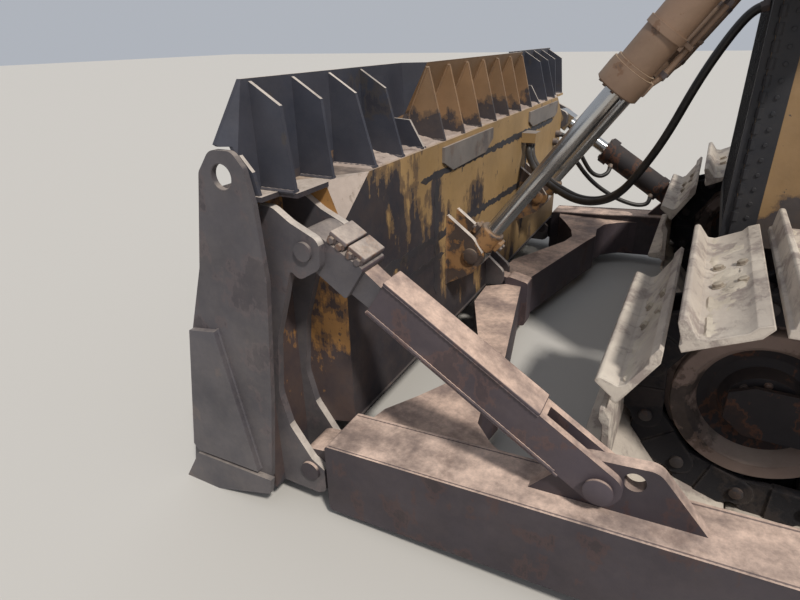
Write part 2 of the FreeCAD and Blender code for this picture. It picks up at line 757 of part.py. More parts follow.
def on_lift(distance):
    axis, _ = lift_axis()
    return vec(YOKE[0], LIFT_Y, YOKE[1]) + axis * distance


def lift_barrel():
    """A tube hung in its middle by trunnions, with a gland in front and a cap behind."""
    outer = LIFT_BORE_R + LIFT_WALL
    barrel = fused([
        rod(on_lift(-TAIL_REACH), on_lift(GLAND_REACH - 70), outer),
        rod(on_lift(GLAND_REACH - 100), on_lift(GLAND_REACH), outer + 8),
        rod(on_lift(-60), on_lift(60), outer + 10),
        pin_y(YOKE[0], YOKE[1], TRUNNION_R, LIFT_Y - outer - 50, LIFT_Y + outer + 50),
    ])
    barrel = barrel.cut(rod(on_lift(-TAIL_REACH + 30), on_lift(GLAND_REACH - 60), LIFT_BORE_R))
    return barrel.cut(rod(on_lift(GLAND_REACH - 90), on_lift(GLAND_REACH + 9), LIFT_ROD_R + 0.1))


def lift_rod():
    _, reach = lift_axis()
    shaft = rod(on_lift(250), on_lift(reach - 20), LIFT_ROD_R)
    piston = rod(on_lift(230), on_lift(290), LIFT_BORE_R - 0.3)
    eye = pin_y(LIFT_PIN[0], LIFT_PIN[1], LIFT_EYE_R, LIFT_Y - LIFT_EYE_W / 2, LIFT_Y + LIFT_EYE_W / 2)
    return fused([shaft, piston, eye])


def lift_yokes():
    """Two arms on each side of the radiator guard that hold the barrel's trunnions."""
    outer = LIFT_BORE_R + LIFT_WALL
    shapes = []
    for y0, y1 in ((LIFT_Y - outer - 44, LIFT_Y - outer - 14), (LIFT_Y + outer + 14, LIFT_Y + outer + 44)):
        plate = soft_plate([
            (GUARD_FRONT - 300, YOKE[1] - 190, 0), (GUARD_FRONT - 10, YOKE[1] - 190, 30),
            (YOKE[0] + 70, YOKE[1] - 60, 50), (YOKE[0] + 70, YOKE[1] + 66, 60),
            (YOKE[0] - 90, YOKE[1] + 66, 40),
            (GUARD_FRONT - 300, YOKE[1] - 20, 0)], y0, y1)
        shapes.append(plate)
    back = box(GUARD_FRONT - 300, GUARD_FRONT - 120, GUARD_Y, LIFT_Y + outer + 44, YOKE[1] - 190,
               YOKE[1] - 20)
    shapes.append(back)
    hanger = fused(shapes)
    return both(hanger.cut(pin_y(YOKE[0], YOKE[1], TRUNNION_R + PIVOT_GAP, 0, 2000)))


# Push frame


def arm_z(x):
    """Height of the push arm's centre line."""
    share = (x - PIVOT_X) / (BACK_X - PIVOT_X)
    return PIVOT_Z + (ARM_NOSE_Z - PIVOT_Z) * share


def push_arm():
    """A box arm from the trunnion to the blade, with the brace lug on top and a nose with a pin."""
    y0, y1 = ARM_Y - ARM_W / 2, ARM_Y + ARM_W / 2
    half = ARM_H / 2
    outline = [
        (PIVOT_X - 150, PIVOT_Z - 60, 60), (PIVOT_X - 40, PIVOT_Z - 165, 60),
        (PIVOT_X + 260, arm_z(PIVOT_X + 260) - half, 60), (BACK_X, ARM_NOSE_Z - half, 12),
        (BACK_X, ARM_NOSE_Z + half, 12), (PIVOT_X + 260, arm_z(PIVOT_X + 260) + half, 60),
        (PIVOT_X - 40, PIVOT_Z + 165, 60), (PIVOT_X - 150, PIVOT_Z + 60, 60),
    ]
    arm = soft_plate(outline, y0, y1)
    arm = arm.cut(pin_y(PIVOT_X, PIVOT_Z, BALL_R + PIVOT_GAP, y0 - 1, y1 - 20))
    x, z = BRACE_PIN
    lug = soft_plate([
        (x - 320, arm_z(x - 320) + half - 20, 0), (x + 230, arm_z(x + 230) + half - 20, 0),
        (x + 60, z + 74, 60), (x - 150, z + 96, 50)], ARM_Y - LUG_T / 2, ARM_Y + LUG_T / 2)
    lug = lug.cut(pin_y(x, z, STRUT_PIN_R + SEAT, 0, 3000))
    lug = lug.cut(pin_y(x - 92, z + 38, STRUT_PIN_R, 0, 3000))
    nose = soft_plate([
        (BACK_X - 20, ARM_NOSE_Z - 85, 0), (BACK_X + 145, ARM_NOSE_Z - 70, 60),
        (BACK_X + 145, ARM_NOSE_Z + 70, 60), (BACK_X - 20, ARM_NOSE_Z + 95, 0)],
        ARM_Y - BRACKET_Y + SEAT, ARM_Y + BRACKET_Y - SEAT)
    reach = BRACKET_Y + BRACKET_T
    bolt = pin_y(NOSE_PIN[0], NOSE_PIN[1], NOSE_PIN_R, ARM_Y - reach, ARM_Y + reach + 12)
    return fused([arm, lug, nose, bolt])


def diagonal():
    """The arm from the push arm's inner face to the blade's middle, with a broad gusset."""
    inner = ARM_Y - ARM_W / 2
    outline = [
        (BACK_X - 130, 52), (BACK_X - 28, 130), (BACK_X - 42, 360), (2010, 874), (1985, 1010), (2025, 1165),
        (2110, inner - 220), (2190, inner - 80), (2205, inner), (1596, inner), (1650, inner - 15),
        (1735, inner - 70), (1820, inner - 160),
        (1850, 1250), (1830, 1090), (1868, 940), (BACK_X - 220, 52),
    ]
    high = ARM_NOSE_Z + ARM_H / 2 - 5
    body = flat_plate(outline, ARM_NOSE_Z - 105, high)
    return body


def centre_joint():
    """The ball block that ties both diagonals to the blade's middle."""
    block = soft_plate([
        (BACK_X - 260, 90, 20), (BACK_X - 120, 60, 30), (BACK_X - 120, 400, 30), (BACK_X - 260, 372, 20)],
        -52, 52)
    tongue = soft_plate([(BACK_X - 150, 130, 0), (BACK_X - 20, 150, 50), (BACK_X - 20, 400, 60),
                         (BACK_X - 150, 380, 0)], -40, 40)
    return fused([block, tongue])


def board_face(extra):
    """The curved board's section; extra thickens it to the rear."""
    shift = BOARD_T + extra
    front = [vec(x, 0, z) for x, z in (BOARD_FOOT, BOARD_BELLY, BOARD_HEAD)]
    curve = Part.Arc(*front).toShape()
    centre, radius = curve.Curve.Center, curve.Curve.Radius
    rear = [centre + (p - centre) * ((radius + shift) / radius) for p in front]
    edges = [curve, Part.makeLine(front[2], rear[2]), Part.Arc(rear[2], rear[1], rear[0]).toShape(),
             Part.makeLine(rear[0], front[0])]
    return Part.Face(Part.Wire(edges))


def board(extra=0.0):
    half = BLADE_Y - END_T
    shape = board_face(extra).extrude(vec(0, 2 * half, 0))
    shape.translate(vec(0, -half, 0))
    return shape


def moldboard():
    return board()


def corner_wedge(inset):
    """The corner that is cut off the box where its top slopes down to the brace bracket."""
    wall_y = BRACKET_IN
    corners = [vec(BACK_X, wall_y - CORNER_RUN, BOX_TOP), vec(BACK_X + CORNER_DEPTH, wall_y, BOX_TOP),
               vec(BACK_X, wall_y, BOX_TOP - CORNER_DROP)]
    normal = (corners[1] - corners[0]).cross(corners[2] - corners[0])
    if normal.z < 0:
        normal = normal * -1
    normal.normalize()
    middle = (corners[0] + corners[1] + corners[2]) * (1 / 3)
    wide = [middle + (p - middle) * 4 - normal * inset for p in corners]
    return sheet(wide).extrude(normal * 600)


def box_body(inset, half):
    """The solid between the back wall and the board, made smaller by inset."""
    low, high = BOX_BOTTOM + inset, BOX_TOP - inset
    outline = [(BACK_X + inset, low), (BACK_X + inset, high), (BOARD_HEAD[0] + 22 + inset * 9, high),
               (BOARD_HEAD[0] + 22 + inset * 9, BOARD_HEAD[1]), (BOARD_FOOT[0], 170 + inset)]
    body = side_plate(outline, -half, half)
    wedge = corner_wedge(inset)
    return body.cut(wedge).cut(other_side(wedge))


def blade_back():
    """The box on the board's back, with sloping top corners and pockets for the brackets."""
    front_room = side_plate([BOARD_FOOT, BOARD_BELLY, BOARD_HEAD, (3400, BOARD_HEAD[1]), (3400, 100)],
                            -BLADE_Y, BLADE_Y)
    shell = box_body(0, BRACKET_IN).cut(box_body(BOX_T, BRACKET_IN - BOX_T))
    parts = [shell]
    for side in (-1, 1):
        y0, y1 = sorted((side * BRACKET_IN, side * (BLADE_Y - END_T)))
        parts.append(box(POCKET_X, POCKET_X + BOX_T, y0, y1, 90, BOX_TOP - 4))
        parts.append(box(POCKET_X, BOARD_FOOT[0] - 50, y0, y1, 90, 106))
        y0, y1 = sorted((side * BRACKET_IN, side * (ARM_Y + BRACKET_Y)))
        parts.append(box(BACK_X + 45, BOARD_HEAD[0] + 22, y0, y1, BOX_TOP - BOX_T, BOX_TOP))
        y0, y1 = sorted((side * (ARM_Y + BRACKET_Y), side * (BLADE_Y - END_T)))
        parts.append(box(SHELF_X, BOARD_HEAD[0] + 22, y0, y1, BOX_TOP - BOX_T, BOX_TOP))
    parts += [cross_plate(outline, BACK_X - PATCH_T, BACK_X + 2) for outline in PATCHES]
    end_y, end_z = BLADE_HOSE[-1][1], BLADE_HOSE[-1][2] + SEAT
    parts.append(box(BACK_X - 90, BACK_X + 2, end_y - 60, end_y + 60, end_z, end_z + 60))
    whole = fused(parts).cut(board(SEAT)).cut(front_room)
    return sorted(whole.Solids, key=lambda s: s.Volume)[-1]


def end_plate():
    """The end plate with the lifting eye at its top. Columns: x, z, radius."""
    outline = [
        (2396, 1010, 120), (2408, 1262, 30), (2430, 1372, 30), (2470, 1420, 40), (EYE_X + 36, 1420, 50),
        (2616, 1348, 30), (2690, 1013, 80), (2790, 740, 30), (2891, 150, 0), (2900, 60, 0), (2530, 100, 20),
        (2500, 165, 20), (2446, 540, 120),
    ]
    plate = soft_plate(outline, BLADE_Y - END_T, BLADE_Y)
    return plate.cut(pin_y(EYE_X, EYE_Z, EYE_R, BLADE_Y - 60, BLADE_Y + 60))


def blade_brackets():
    """Plates that hold the arm's nose and the brace, the lift ears and the centre ears."""
    shapes = []
    x, z = BRACE_HEAD
    outline = [
        (POCKET_X, BOX_TOP - 40, 0), (2405, BOX_TOP - 44, 60), (2338, BOX_TOP - 88, 60),
        (x - 60, z + 40, 40), (x - 58, z - 52, 40), (x + 30, z - 106, 30), (x + 64, z - 74, 10),
        (2392, 920, 60), (2445, 760, 120), (2474, 520, 120), (2440, 380, 80), (BACK_X + 76, 250, 30), (BACK_X + 22, 215, 10),
        (BACK_X + 22, 110, 30), (BACK_X + 60, 90, 20), (POCKET_X, 90, 0),
    ]
    for y0 in (ARM_Y - BRACKET_Y - BRACKET_T, ARM_Y + BRACKET_Y):
        plate = soft_plate(outline, y0, y0 + BRACKET_T)
        plate = plate.cut(pin_y(x, z, STRUT_PIN_R + SEAT, 0, 3000))
        plate = plate.cut(pin_y(NOSE_PIN[0], NOSE_PIN[1], NOSE_PIN_R + SEAT, 0, 3000))
        shapes.append(plate)
        shapes.append(other_side(plate))
    px, pz = LIFT_PIN
    ear = soft_plate([
        (BACK_X, pz + 190, 0), (px - 10, pz + 90, 70), (px - 75, pz, 60), (px - 10, pz - 90, 70),
        (BACK_X, pz - 170, 0)], 0, EAR_T)
    gap = LIFT_EYE_W / 2 + EAR_GAP
    for start in (LIFT_Y - gap - EAR_T, LIFT_Y + gap):
        one = ear.copy()
        one.translate(vec(0, start, 0))
        shapes.append(one)
        shapes.append(other_side(one))
    cheek = soft_plate([(BACK_X, 330, 0), (BACK_X, 520, 0), (BACK_X - 110, 430, 50), (BACK_X - 110, 340, 30)],
                       0, 26)
    for start in (-40 - SEAT - 26, 40 + SEAT):
        one = cheek.copy()
        one.translate(vec(0, start, 0))
        shapes.append(one)
    return apart(shapes)


def slab(points, direction):
    """A flat plate from its corner points, carried along a direction."""
    return sheet(points).extrude(direction)


def blade_guard():
    """A band with upright wings and a middle that leans back, closed by corner triangles."""
    half = BLADE_Y - END_T
    forward = vec(PLATE_G, 0, 0)
    parts = [box(GUARD_X, GUARD_X + PLATE_G, -half, half, BOX_TOP, KNEE_Z)]
    wing = cross_plate([(KNEE_Y, KNEE_Z), (half, KNEE_Z), (WING_CORNER_Y, WING_TOP_Z),
                        (LEAN_Y + LEAN_SPREAD, WING_TOP_Z)], GUARD_X, GUARD_X + PLATE_G)
    tip = slab([vec(GUARD_X, half, KNEE_Z), vec(GUARD_X, WING_CORNER_Y, WING_TOP_Z), vec(*WING_TIP)], forward)
    tip = tip.cut(box(GUARD_X - 9, WING_TIP[0] + 99, half - SEAT, BLADE_Y + 9, KNEE_Z - 99, WING_TIP[2] - 6))
    knee = vec(GUARD_X, KNEE_Y, KNEE_Z)
    lean = vec(LEAN_X, LEAN_Y, WING_TOP_Z)
    corner = slab([knee, vec(GUARD_X, LEAN_Y + LEAN_SPREAD, WING_TOP_Z), lean], forward)
    middle = slab([knee, lean, vec(LEAN_X, -LEAN_Y, WING_TOP_Z), vec(GUARD_X, -KNEE_Y, KNEE_Z)], forward)
    parts += [wing, other_side(wing), tip, other_side(tip), corner, other_side(corner), middle]
    return fused(parts)


def guard_rib(outline, y):
    return side_plate(outline, y - RIB_T / 2, y + RIB_T / 2)


def guard_ribs():
    """Upright plates that stay the guard from behind. Outline columns: x, z."""
    face = GUARD_X - SEAT
    tall = [(RIB_FOOT_X, BOX_TOP), (2355, 1541), (face, WING_TOP_Z - 8), (face, BOX_TOP)]
    low = [(RIB_FOOT_X, BOX_TOP), (2350, KNEE_Z), (face, KNEE_Z + 8), (face, BOX_TOP)]
    end = [(SHELF_X + 14, BOX_TOP), (SHELF_X + 30, 1356), (face, KNEE_Z + 4), (face, BOX_TOP)]
    middle = [(RIB_FOOT_X - 3, BOX_TOP), (LEAN_X - 2, WING_TOP_Z - 20), (LEAN_X + 6, WING_TOP_Z - 20),
              (face, KNEE_Z - 2), (face, BOX_TOP)]
    wings = [(end, BLADE_Y - 34), (tall, 1320.0), (tall, 1105.0), (low, 912.0)]
    shapes = []
    for outline, y in wings:
        shapes += [guard_rib(outline, y), guard_rib(outline, -y)]
    corner = [(BACK_X + 52, BOX_TOP)] + tall[1:]
    for y in (1530.0, 1736.0):
        shapes += [guard_rib(corner, y), guard_rib(corner, -y)]
    for i in range(7):
        shapes.append(guard_rib(middle, (i - 3) * 233.0))
    return apart(shapes)


def cutting_edge():
    """The bolted edge along the board's foot, with broader bits and wear plates at the ends."""
    x, z = BOARD_FOOT
    half = BLADE_Y - END_T
    behind = board(300.0)
    behind.translate(vec(SEAT, 0, 0))
    shapes = []
    inner = half - BIT_W
    for y0, y1, reach in ((-inner, inner, 0.0), (inner, half, 30.0), (-half, -inner, 30.0)):
        section = [(NOSE_X - 42, 0), (NOSE_X, 0), (x + 32, z + 95 + reach), (x - 20, z + 95 + reach),
                   (x - 16, z - 14)]
        shapes.append(side_plate(section, y0, y1).cut(behind))
    side = side_plate([(2872, 158), (NOSE_X, 0), (2790, 0), (2502, 92), (2484, 168)], BLADE_Y,
                      BLADE_Y + SIDE_BIT_T)
    wear = side_plate([(2776, 762), (2652, 782), (2546, 186), (2862, 176), (2886, 204)], BLADE_Y,
                      BLADE_Y + SIDE_BIT_T)
    return apart(shapes + [side, other_side(side), wear, other_side(wear)])


def strut_frame():
    """Length and slope of the line from the arm's lug to the blade bracket."""
    dx, dz = BRACE_HEAD[0] - BRACE_PIN[0], BRACE_HEAD[1] - BRACE_PIN[1]
    return math.hypot(dx, dz), math.degrees(math.atan2(dz, dx))


def lay_strut(shape):
    """Turns a strut drawn along +X from the origin onto its line."""
    _, slope = strut_frame()
    shape.rotate(vec(0, 0, 0), vec(0, 1, 0), -slope)
    shape.translate(vec(BRACE_PIN[0], ARM_Y, BRACE_PIN[1]))
    return shape


def strut_fork(length):
    """The fork over the arm's lug, with the pin through it."""
    half_w, half_h = BRACE_W / 2, BRACE_H / 2
    body = soft_plate([(-62, -half_h, 58), (length, -half_h, 0), (length, half_h, 0), (-62, half_h, 58)],
                      -half_w, half_w)
    slot = box(-200, 250, -LUG_T / 2 - SEAT, LUG_T / 2 + SEAT, -200, 200)
    bolt = pin_y(0, 0, STRUT_PIN_R, -half_w - 12, half_w + 12)
    return fused([body.cut(slot), bolt])


def head_pin(length):
    return pin_y(length, 0, STRUT_PIN_R, -BRACKET_Y - BRACKET_T, BRACKET_Y + BRACKET_T + 12)


def brace():
    """The left strut: fork, box beam with a stepped neck, and a head with a split clamp and its pin."""
    length, _ = strut_frame()
    half_h = BRACE_H / 2
    beam = strut_fork(length - NECK_REACH)
    neck = soft_plate([(length - NECK_REACH - 20, -half_h + 12, 0), (length - 150, -half_h + 8, 0),
                       (length - 150, half_h - 16, 0), (length - NECK_REACH - 20, half_h - 26, 0)], -40, 40)
    head = soft_plate([(length - 190, -half_h + 2, 10), (length + 60, -56, 56), (length + 60, 56, 56),
                       (length - 190, half_h + 6, 10)], -BRACKET_Y + SEAT, BRACKET_Y - SEAT)
    clamps = [box(length - start, length - start + 66, -60, 60, half_h - 12, half_h + 36)
              for start in (176, 100)]
    return lay_strut(fused([beam, neck, head, head_pin(length)] + clamps))


def tilt_barrel():
    """The right strut's cylinder, on the same lug."""
    tail = strut_fork(180)
    tube = Part.makeCylinder(88, 520, vec(170, 0, 0), vec(1, 0, 0))
    bore = Part.makeCylinder(45.1, 600, vec(300, 0, 0), vec(1, 0, 0))
    return lay_strut(fused([tail, tube]).cut(bore))


def tilt_rod():
    length, _ = strut_frame()
    shaft = Part.makeCylinder(45, length - 380, vec(310, 0, 0), vec(1, 0, 0))
    head = soft_plate([(length - 90, -62, 0), (length + 60, -62, 60), (length + 60, 62, 60),
                       (length - 90, 62, 0)],
                      -BRACKET_Y + SEAT, BRACKET_Y - SEAT)
    return lay_strut(fused([shaft, head, head_pin(length)]))


def blade_hoses():
    """Two hoses from the radiator guard down and up to a block on the blade's back."""
    return apart([hose(BLADE_HOSE, HOSE_R, side * HOSE_GAP / 2) for side in (-1, 1)])


def tilt_hoses():
    """Two hoses from ports on the blade's back to the tilt cylinder."""
    shapes = []
    for line in TILT_HOSES:
        x, y, z = line[0]
        port = rod(vec(x - 10, y, z), vec(BACK_X - SEAT, y, z), HOSE_R + 5)
        shapes.append(fused([hose(line, HOSE_R - 3), port]))
    return apart(shapes)


def save(name, shape):
    if isinstance(shape, list):
        shape = Part.makeCompound([s for piece in shape for s in piece.Solids])
    shape.exportStep(os.path.join("parts", name + ".step"))


def main():
    os.makedirs("parts", exist_ok=True)
    pairs = {
        "track": track(), "idler": idler(), "sprocket": sprocket(), "final_drive": final_drive(),
        "rollers": rollers(), "track_frame": track_frame(), "door": door(), "door_glass": door_glass(),
        "lift_barrel": lift_barrel(), "lift_rod": lift_rod(), "push_arm": push_arm(), "diagonal": diagonal(),
    }
    for name, shape in pairs.items():
        save(name + "_left", shape)
        save(name + "_right", other_side(shape))
    singles = {
        "main_frame": main_frame(), "radiator_guard": radiator_guard(), "grille": grille(),
        "radiator_core": radiator_core(), "hood": hood(), "engine_panels": engine_panels(),
        "engine_block": engine_block(), "exhaust_stack": exhaust_stack(), "air_precleaner": air_precleaner(),
        "platform": platform(), "cab_shell": cab_shell(), "cab_roof": cab_roof(), "cab_glass": cab_glass(),
        "seat": seat(), "console": console(), "fuel_tank": fuel_tank(), "battery_box": side_box(1640.0),
        "hydraulic_tank": other_side(side_box(1820.0)), "drawbar": drawbar(), "lamps": lamps(),
        "lift_yokes": lift_yokes(), "centre_joint": centre_joint(), "moldboard": moldboard(),
        "blade_back": blade_back(), "blade_ends": both(end_plate()), "blade_brackets": blade_brackets(),
        "blade_guard": blade_guard(), "guard_ribs": guard_ribs(), "cutting_edge": cutting_edge(),
        "blade_hoses": blade_hoses(), "tilt_hoses": tilt_hoses(), "brace": brace(),
        "tilt_barrel": other_side(tilt_barrel()), "tilt_rod": other_side(tilt_rod()),
    }
    for name, shape in singles.items():
        save(name, shape)


main()
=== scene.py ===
"""Dresses the crawler bulldozer: finishes, smooth running gear, hoses, pins, bolts, cab fittings and mud."""

import logging
import math
from dataclasses import dataclass
from enum import Enum
from functools import partial, partialmethod
from typing import Callable, Optional, Sequence, Union

import bmesh
import bpy
import numpy as np
from mathutils import Matrix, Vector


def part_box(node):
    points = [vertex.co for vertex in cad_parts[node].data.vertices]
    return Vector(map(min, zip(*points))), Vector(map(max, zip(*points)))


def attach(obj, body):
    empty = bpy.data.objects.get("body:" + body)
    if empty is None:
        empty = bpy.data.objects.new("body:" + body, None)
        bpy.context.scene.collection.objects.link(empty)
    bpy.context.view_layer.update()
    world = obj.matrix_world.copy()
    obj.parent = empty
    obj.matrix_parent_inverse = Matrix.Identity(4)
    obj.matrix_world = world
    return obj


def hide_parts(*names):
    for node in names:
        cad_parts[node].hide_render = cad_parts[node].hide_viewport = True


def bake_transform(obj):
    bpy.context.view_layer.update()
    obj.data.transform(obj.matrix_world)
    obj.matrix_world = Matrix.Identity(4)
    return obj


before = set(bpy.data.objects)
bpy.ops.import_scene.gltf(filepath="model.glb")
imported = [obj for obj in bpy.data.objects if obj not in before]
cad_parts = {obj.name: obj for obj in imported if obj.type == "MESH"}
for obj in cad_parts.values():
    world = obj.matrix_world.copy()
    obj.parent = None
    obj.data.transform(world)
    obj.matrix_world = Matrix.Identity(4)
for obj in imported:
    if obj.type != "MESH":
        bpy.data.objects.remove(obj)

log = logging.getLogger("bulldozer")
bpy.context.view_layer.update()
SIDES = {"left": 1.0, "right": -1.0}
ORIGIN = (0.0, 0.0, 0.0)


def measured(node: str) -> tuple[np.ndarray, np.ndarray]:
    """The lowest and highest corner of a CAD node, in metres.

    Args:
        node: the node's name.

    Returns:
        Two arrays of x, y, z.
    """
    low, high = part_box(node)
    return np.array(low), np.array(high)


# Shapes


class Axis(Enum):
    """The direction that a flat outline is carried along."""

    X = 0
    Y = 1
    Z = 2


@dataclass
class Shape:
    """A surface held as whole arrays: points, the corners of all its faces, and each face's corner count."""

    points: np.ndarray
    corners: np.ndarray
    counts: np.ndarray

    def mirrored(self) -> "Shape":
        """The same surface on the machine's other side."""
        return Shape(self.points * np.array([1.0, -1.0, 1.0]), self.corners, self.counts)

    def moved(self, x: float = 0.0, y: float = 0.0, z: float = 0.0) -> "Shape":
        """The same surface, shifted."""
        return Shape(self.points + np.array([x, y, z]), self.corners, self.counts)

    def turned(self, axis: Axis, degrees: float, about: Sequence[float] = (0, 0, 0)) -> "Shape":
        """The same surface, turned about an axis through a point.

        Args:
            axis: the axis to turn about.
            degrees: the angle, by the right-hand rule.
            about: a point on the axis.

        Returns:
            The turned surface.
        """
        turn = np.array(Matrix.Rotation(math.radians(degrees), 3, axis.name))
        centre = np.array(about, float)
        return Shape((self.points - centre) @ turn.T + centre, self.corners, self.counts)


def joined(shapes: Sequence[Shape]) -> Shape:
    """Several surfaces as one.

    Args:
        shapes: the surfaces.

    Returns:
        One surface with all the points and faces.
    """
    starts = np.cumsum([0] + [len(s.points) for s in shapes[:-1]])
    return Shape(
        np.concatenate([s.points for s in shapes]),
        np.concatenate([s.corners + start for s, start in zip(shapes, starts)]),
        np.concatenate([s.counts for s in shapes]),
    )


def both(shape: Shape) -> Shape:
    """A surface and its mirror image."""
    return joined([shape, shape.mirrored()])


def copies(shape: Shape, places: np.ndarray) -> Shape:
    """One surface repeated: every point is multiplied by each of the k place matrices.

    Args:
        shape: the surface to repeat.
        places: a (k, 4, 4) array of placements.

    Returns:
        All the copies as one surface.
    """
    places = np.asarray(places, float)
    points = np.einsum("kij,nj->kni", places[:, :3, :3], shape.points) + places[:, None, :3, 3]
    steps = np.arange(len(places))[:, None] * len(shape.points)
    return Shape(points.reshape(-1, 3), (shape.corners[None] + steps).ravel(), np.tile(shape.counts, len(places)))


def shifts(points: Sequence[Sequence[float]]) -> np.ndarray:
    """Placement matrices that only shift, one for each point."""
    points = np.asarray(points, float).reshape(-1, 3)
    places = np.tile(np.eye(4), (len(points), 1, 1))
    places[:, :3, 3] = points
    return places


def grid(points: np.ndarray, round_u: bool = False, round_v: bool = False, lids: bool = False) -> Shape:
    """Four-cornered faces between neighbouring points of a (u, v) grid.

    Args:
        points: a (nu, nv, 3) array.
        round_u: joins the last u line to the first.
        round_v: joins the last v line to the first.
        lids: closes the first and the last u line with one face each.

    Returns:
        The surface.
    """
    nu, nv = points.shape[:2]
    u = np.arange(nu if round_u else nu - 1)[:, None]
    v = np.arange(nv if round_v else nv - 1)[None]
    u1, v1 = (u + 1) % nu, (v + 1) % nv
    quads = np.stack([u * nv + v, u1 * nv + v, u1 * nv + v1, u * nv + v1], -1).reshape(-1, 4)
    corners, counts = [quads.ravel()], [np.full(len(quads), 4)]
    if lids:
        rim = np.arange(nv)
        corners += [rim[::-1], rim + (nu - 1) * nv]
        counts.append(np.array([nv, nv]))
    return Shape(points.reshape(-1, 3), np.concatenate(corners), np.concatenate(counts))


def lifted(flat: Sequence[Sequence[float]], axis: Axis, at: float) -> np.ndarray:
    """Flat points put into space: their place along the axis is the same for all."""
    return np.insert(np.asarray(flat, float), axis.value, at, axis=1)


def prism(outline: Sequence[Sequence[float]], axis: Axis, low: float, high: float) -> Shape:
    """A closed outline carried along one axis, with a lid at each end.

    Args:
        outline: columns are the other two axes, in X, Y, Z order.
        axis: the direction of travel.
        low: where it starts.
        high: where it ends.

    Returns:
        The closed surface.
    """
    return grid(np.stack([lifted(outline, axis, at) for at in (low, high)]), round_v=True, lids=True)


def flat_ring(outer: np.ndarray, inner: np.ndarray, axis: Axis, low: float, high: float) -> Shape:
    """A frame between two flat outlines with the same number of points.

    Args:
        outer: the outer outline, two columns.
        inner: the inner outline.
        axis: the axis that the frame is flat across.
        low: where it starts on that axis.
        high: where it ends.

    Returns:
        The closed surface.
    """
    sides = ((outer, low), (outer, high), (inner, high), (inner, low))
    return grid(np.stack([lifted(flat, axis, at) for flat, at in sides]), round_u=True, round_v=True)


def crust(x: np.ndarray, y: np.ndarray, z: np.ndarray, foot: float) -> Shape:
    """A sheet with uneven height z over a grid of x and y, closed by a flat underside at foot."""
    upper, lower = np.stack([x, y, z], -1), np.stack([x, y, np.full_like(x, foot)], -1)
    return grid(np.concatenate([upper, lower[:, ::-1]], axis=1), round_v=True, lids=True)


def block(low: Sequence[float], high: Sequence[float]) -> Shape:
    """A box between two corners."""
    (x0, y0, z0), (x1, y1, z1) = low, high
    return prism([(x0, y0), (x1, y0), (x1, y1), (x0, y1)], Axis.Z, z0, z1)


def softened(outline: Sequence[Sequence[float]], radius: float, steps: int = 5) -> np.ndarray:
    """An outline with every corner replaced by a quadratic curve between points on its two sides.

    Args:
        outline: two columns.
        radius: how far from the corner the curve starts, at most 45% of a side.
        steps: points on each curve.

    Returns:
        The new outline.
    """
    corner = np.asarray(outline, float)
    before, after = np.roll(corner, 1, 0) - corner, np.roll(corner, -1, 0) - corner
    run_in = np.minimum(radius / np.linalg.norm(before, axis=1), 0.45)[:, None]
    run_out = np.minimum(radius / np.linalg.norm(after, axis=1), 0.45)[:, None]
    start, stop = corner + before * run_in, corner + after * run_out
    t = np.linspace(0, 1, steps)[None, :, None]
    curve = (1 - t) ** 2 * start[:, None] + 2 * t * (1 - t) * corner[:, None] + t**2 * stop[:, None]
    return curve.reshape(-1, 2)


def circle(x: float, y: float, radius: float, sides: int = 32) -> np.ndarray:
    """A round outline about a point."""
    turn = np.arange(sides) * 2 * math.pi / sides
    return np.stack([x + radius * np.cos(turn), y + radius * np.sin(turn)], -1)


def lathe(
    profile: Sequence[Sequence[float]],
    axis: Axis,
    centre: Sequence[float] = ORIGIN,
    sides: int = 48,
    hollow: bool = False,
) -> Shape:
    """A profile turned about an axis: each profile point becomes a circle of its radius.

    Args:
        profile: columns are the distance along the axis and the radius, in order along the surface.
        axis: the axis turned about.
        centre: the point that distances are counted from.
        sides: faces around.
        hollow: True joins the profile's end to its start, for a ring; False closes both ends with lids.

    Returns:
        The closed surface.
    """
    flat = np.asarray(profile, float)
    turn = np.arange(sides) * 2 * math.pi / sides
    points = np.empty((len(flat), sides, 3))
    first, second = [k for k in range(3) if k != axis.value]
    points[:, :, axis.value] = flat[:, :1]
    points[:, :, first] = flat[:, 1:] * np.cos(turn)
    points[:, :, second] = flat[:, 1:] * np.sin(turn)
    return grid(points + np.asarray(centre, float), round_u=hollow, round_v=True, lids=not hollow)


def band(low: float, high: float, inner: float, outer: float, axis: Axis, centre: Sequence[float] = ORIGIN,
         sides: int = 48) -> Shape:
    """A plain ring between two places on an axis and two radii."""
    return lathe([(low, inner), (low, outer), (high, outer), (high, inner)], axis, centre, sides, hollow=True)


def two_sided(half: Sequence[tuple[float, float]]) -> list[tuple[float, float]]:
    """A profile that is alike on both sides of its middle, from the half with distances above 0."""
    return [(-along, radius) for along, radius in reversed(half)] + list(half)


def smooth_path(points: Sequence[Sequence[float]], steps: int = 10) -> np.ndarray:
    """A curve through points: between each pair, the cubic whose slopes are half the neighbours' distance.

    Args:
        points: the places passed, three columns.
        steps: points between each pair.

    Returns:
        The points on the curve.
    """
    p = np.asarray(points, float)
    p = np.concatenate([2 * p[:1] - p[1:2], p, 2 * p[-1:] - p[-2:-1]])
    a, b, c, d = p[:-3, None], p[1:-2, None], p[2:-1, None], p[3:, None]
    t = np.linspace(0, 1, steps, endpoint=False)[None, :, None]
    curve = 0.5 * (2 * b + (c - a) * t + (2 * a - 5 * b + 4 * c - d) * t**2 + (3 * b - a - 3 * c + d) * t**3)
    return np.concatenate([curve.reshape(-1, 3), p[-2:-1]])


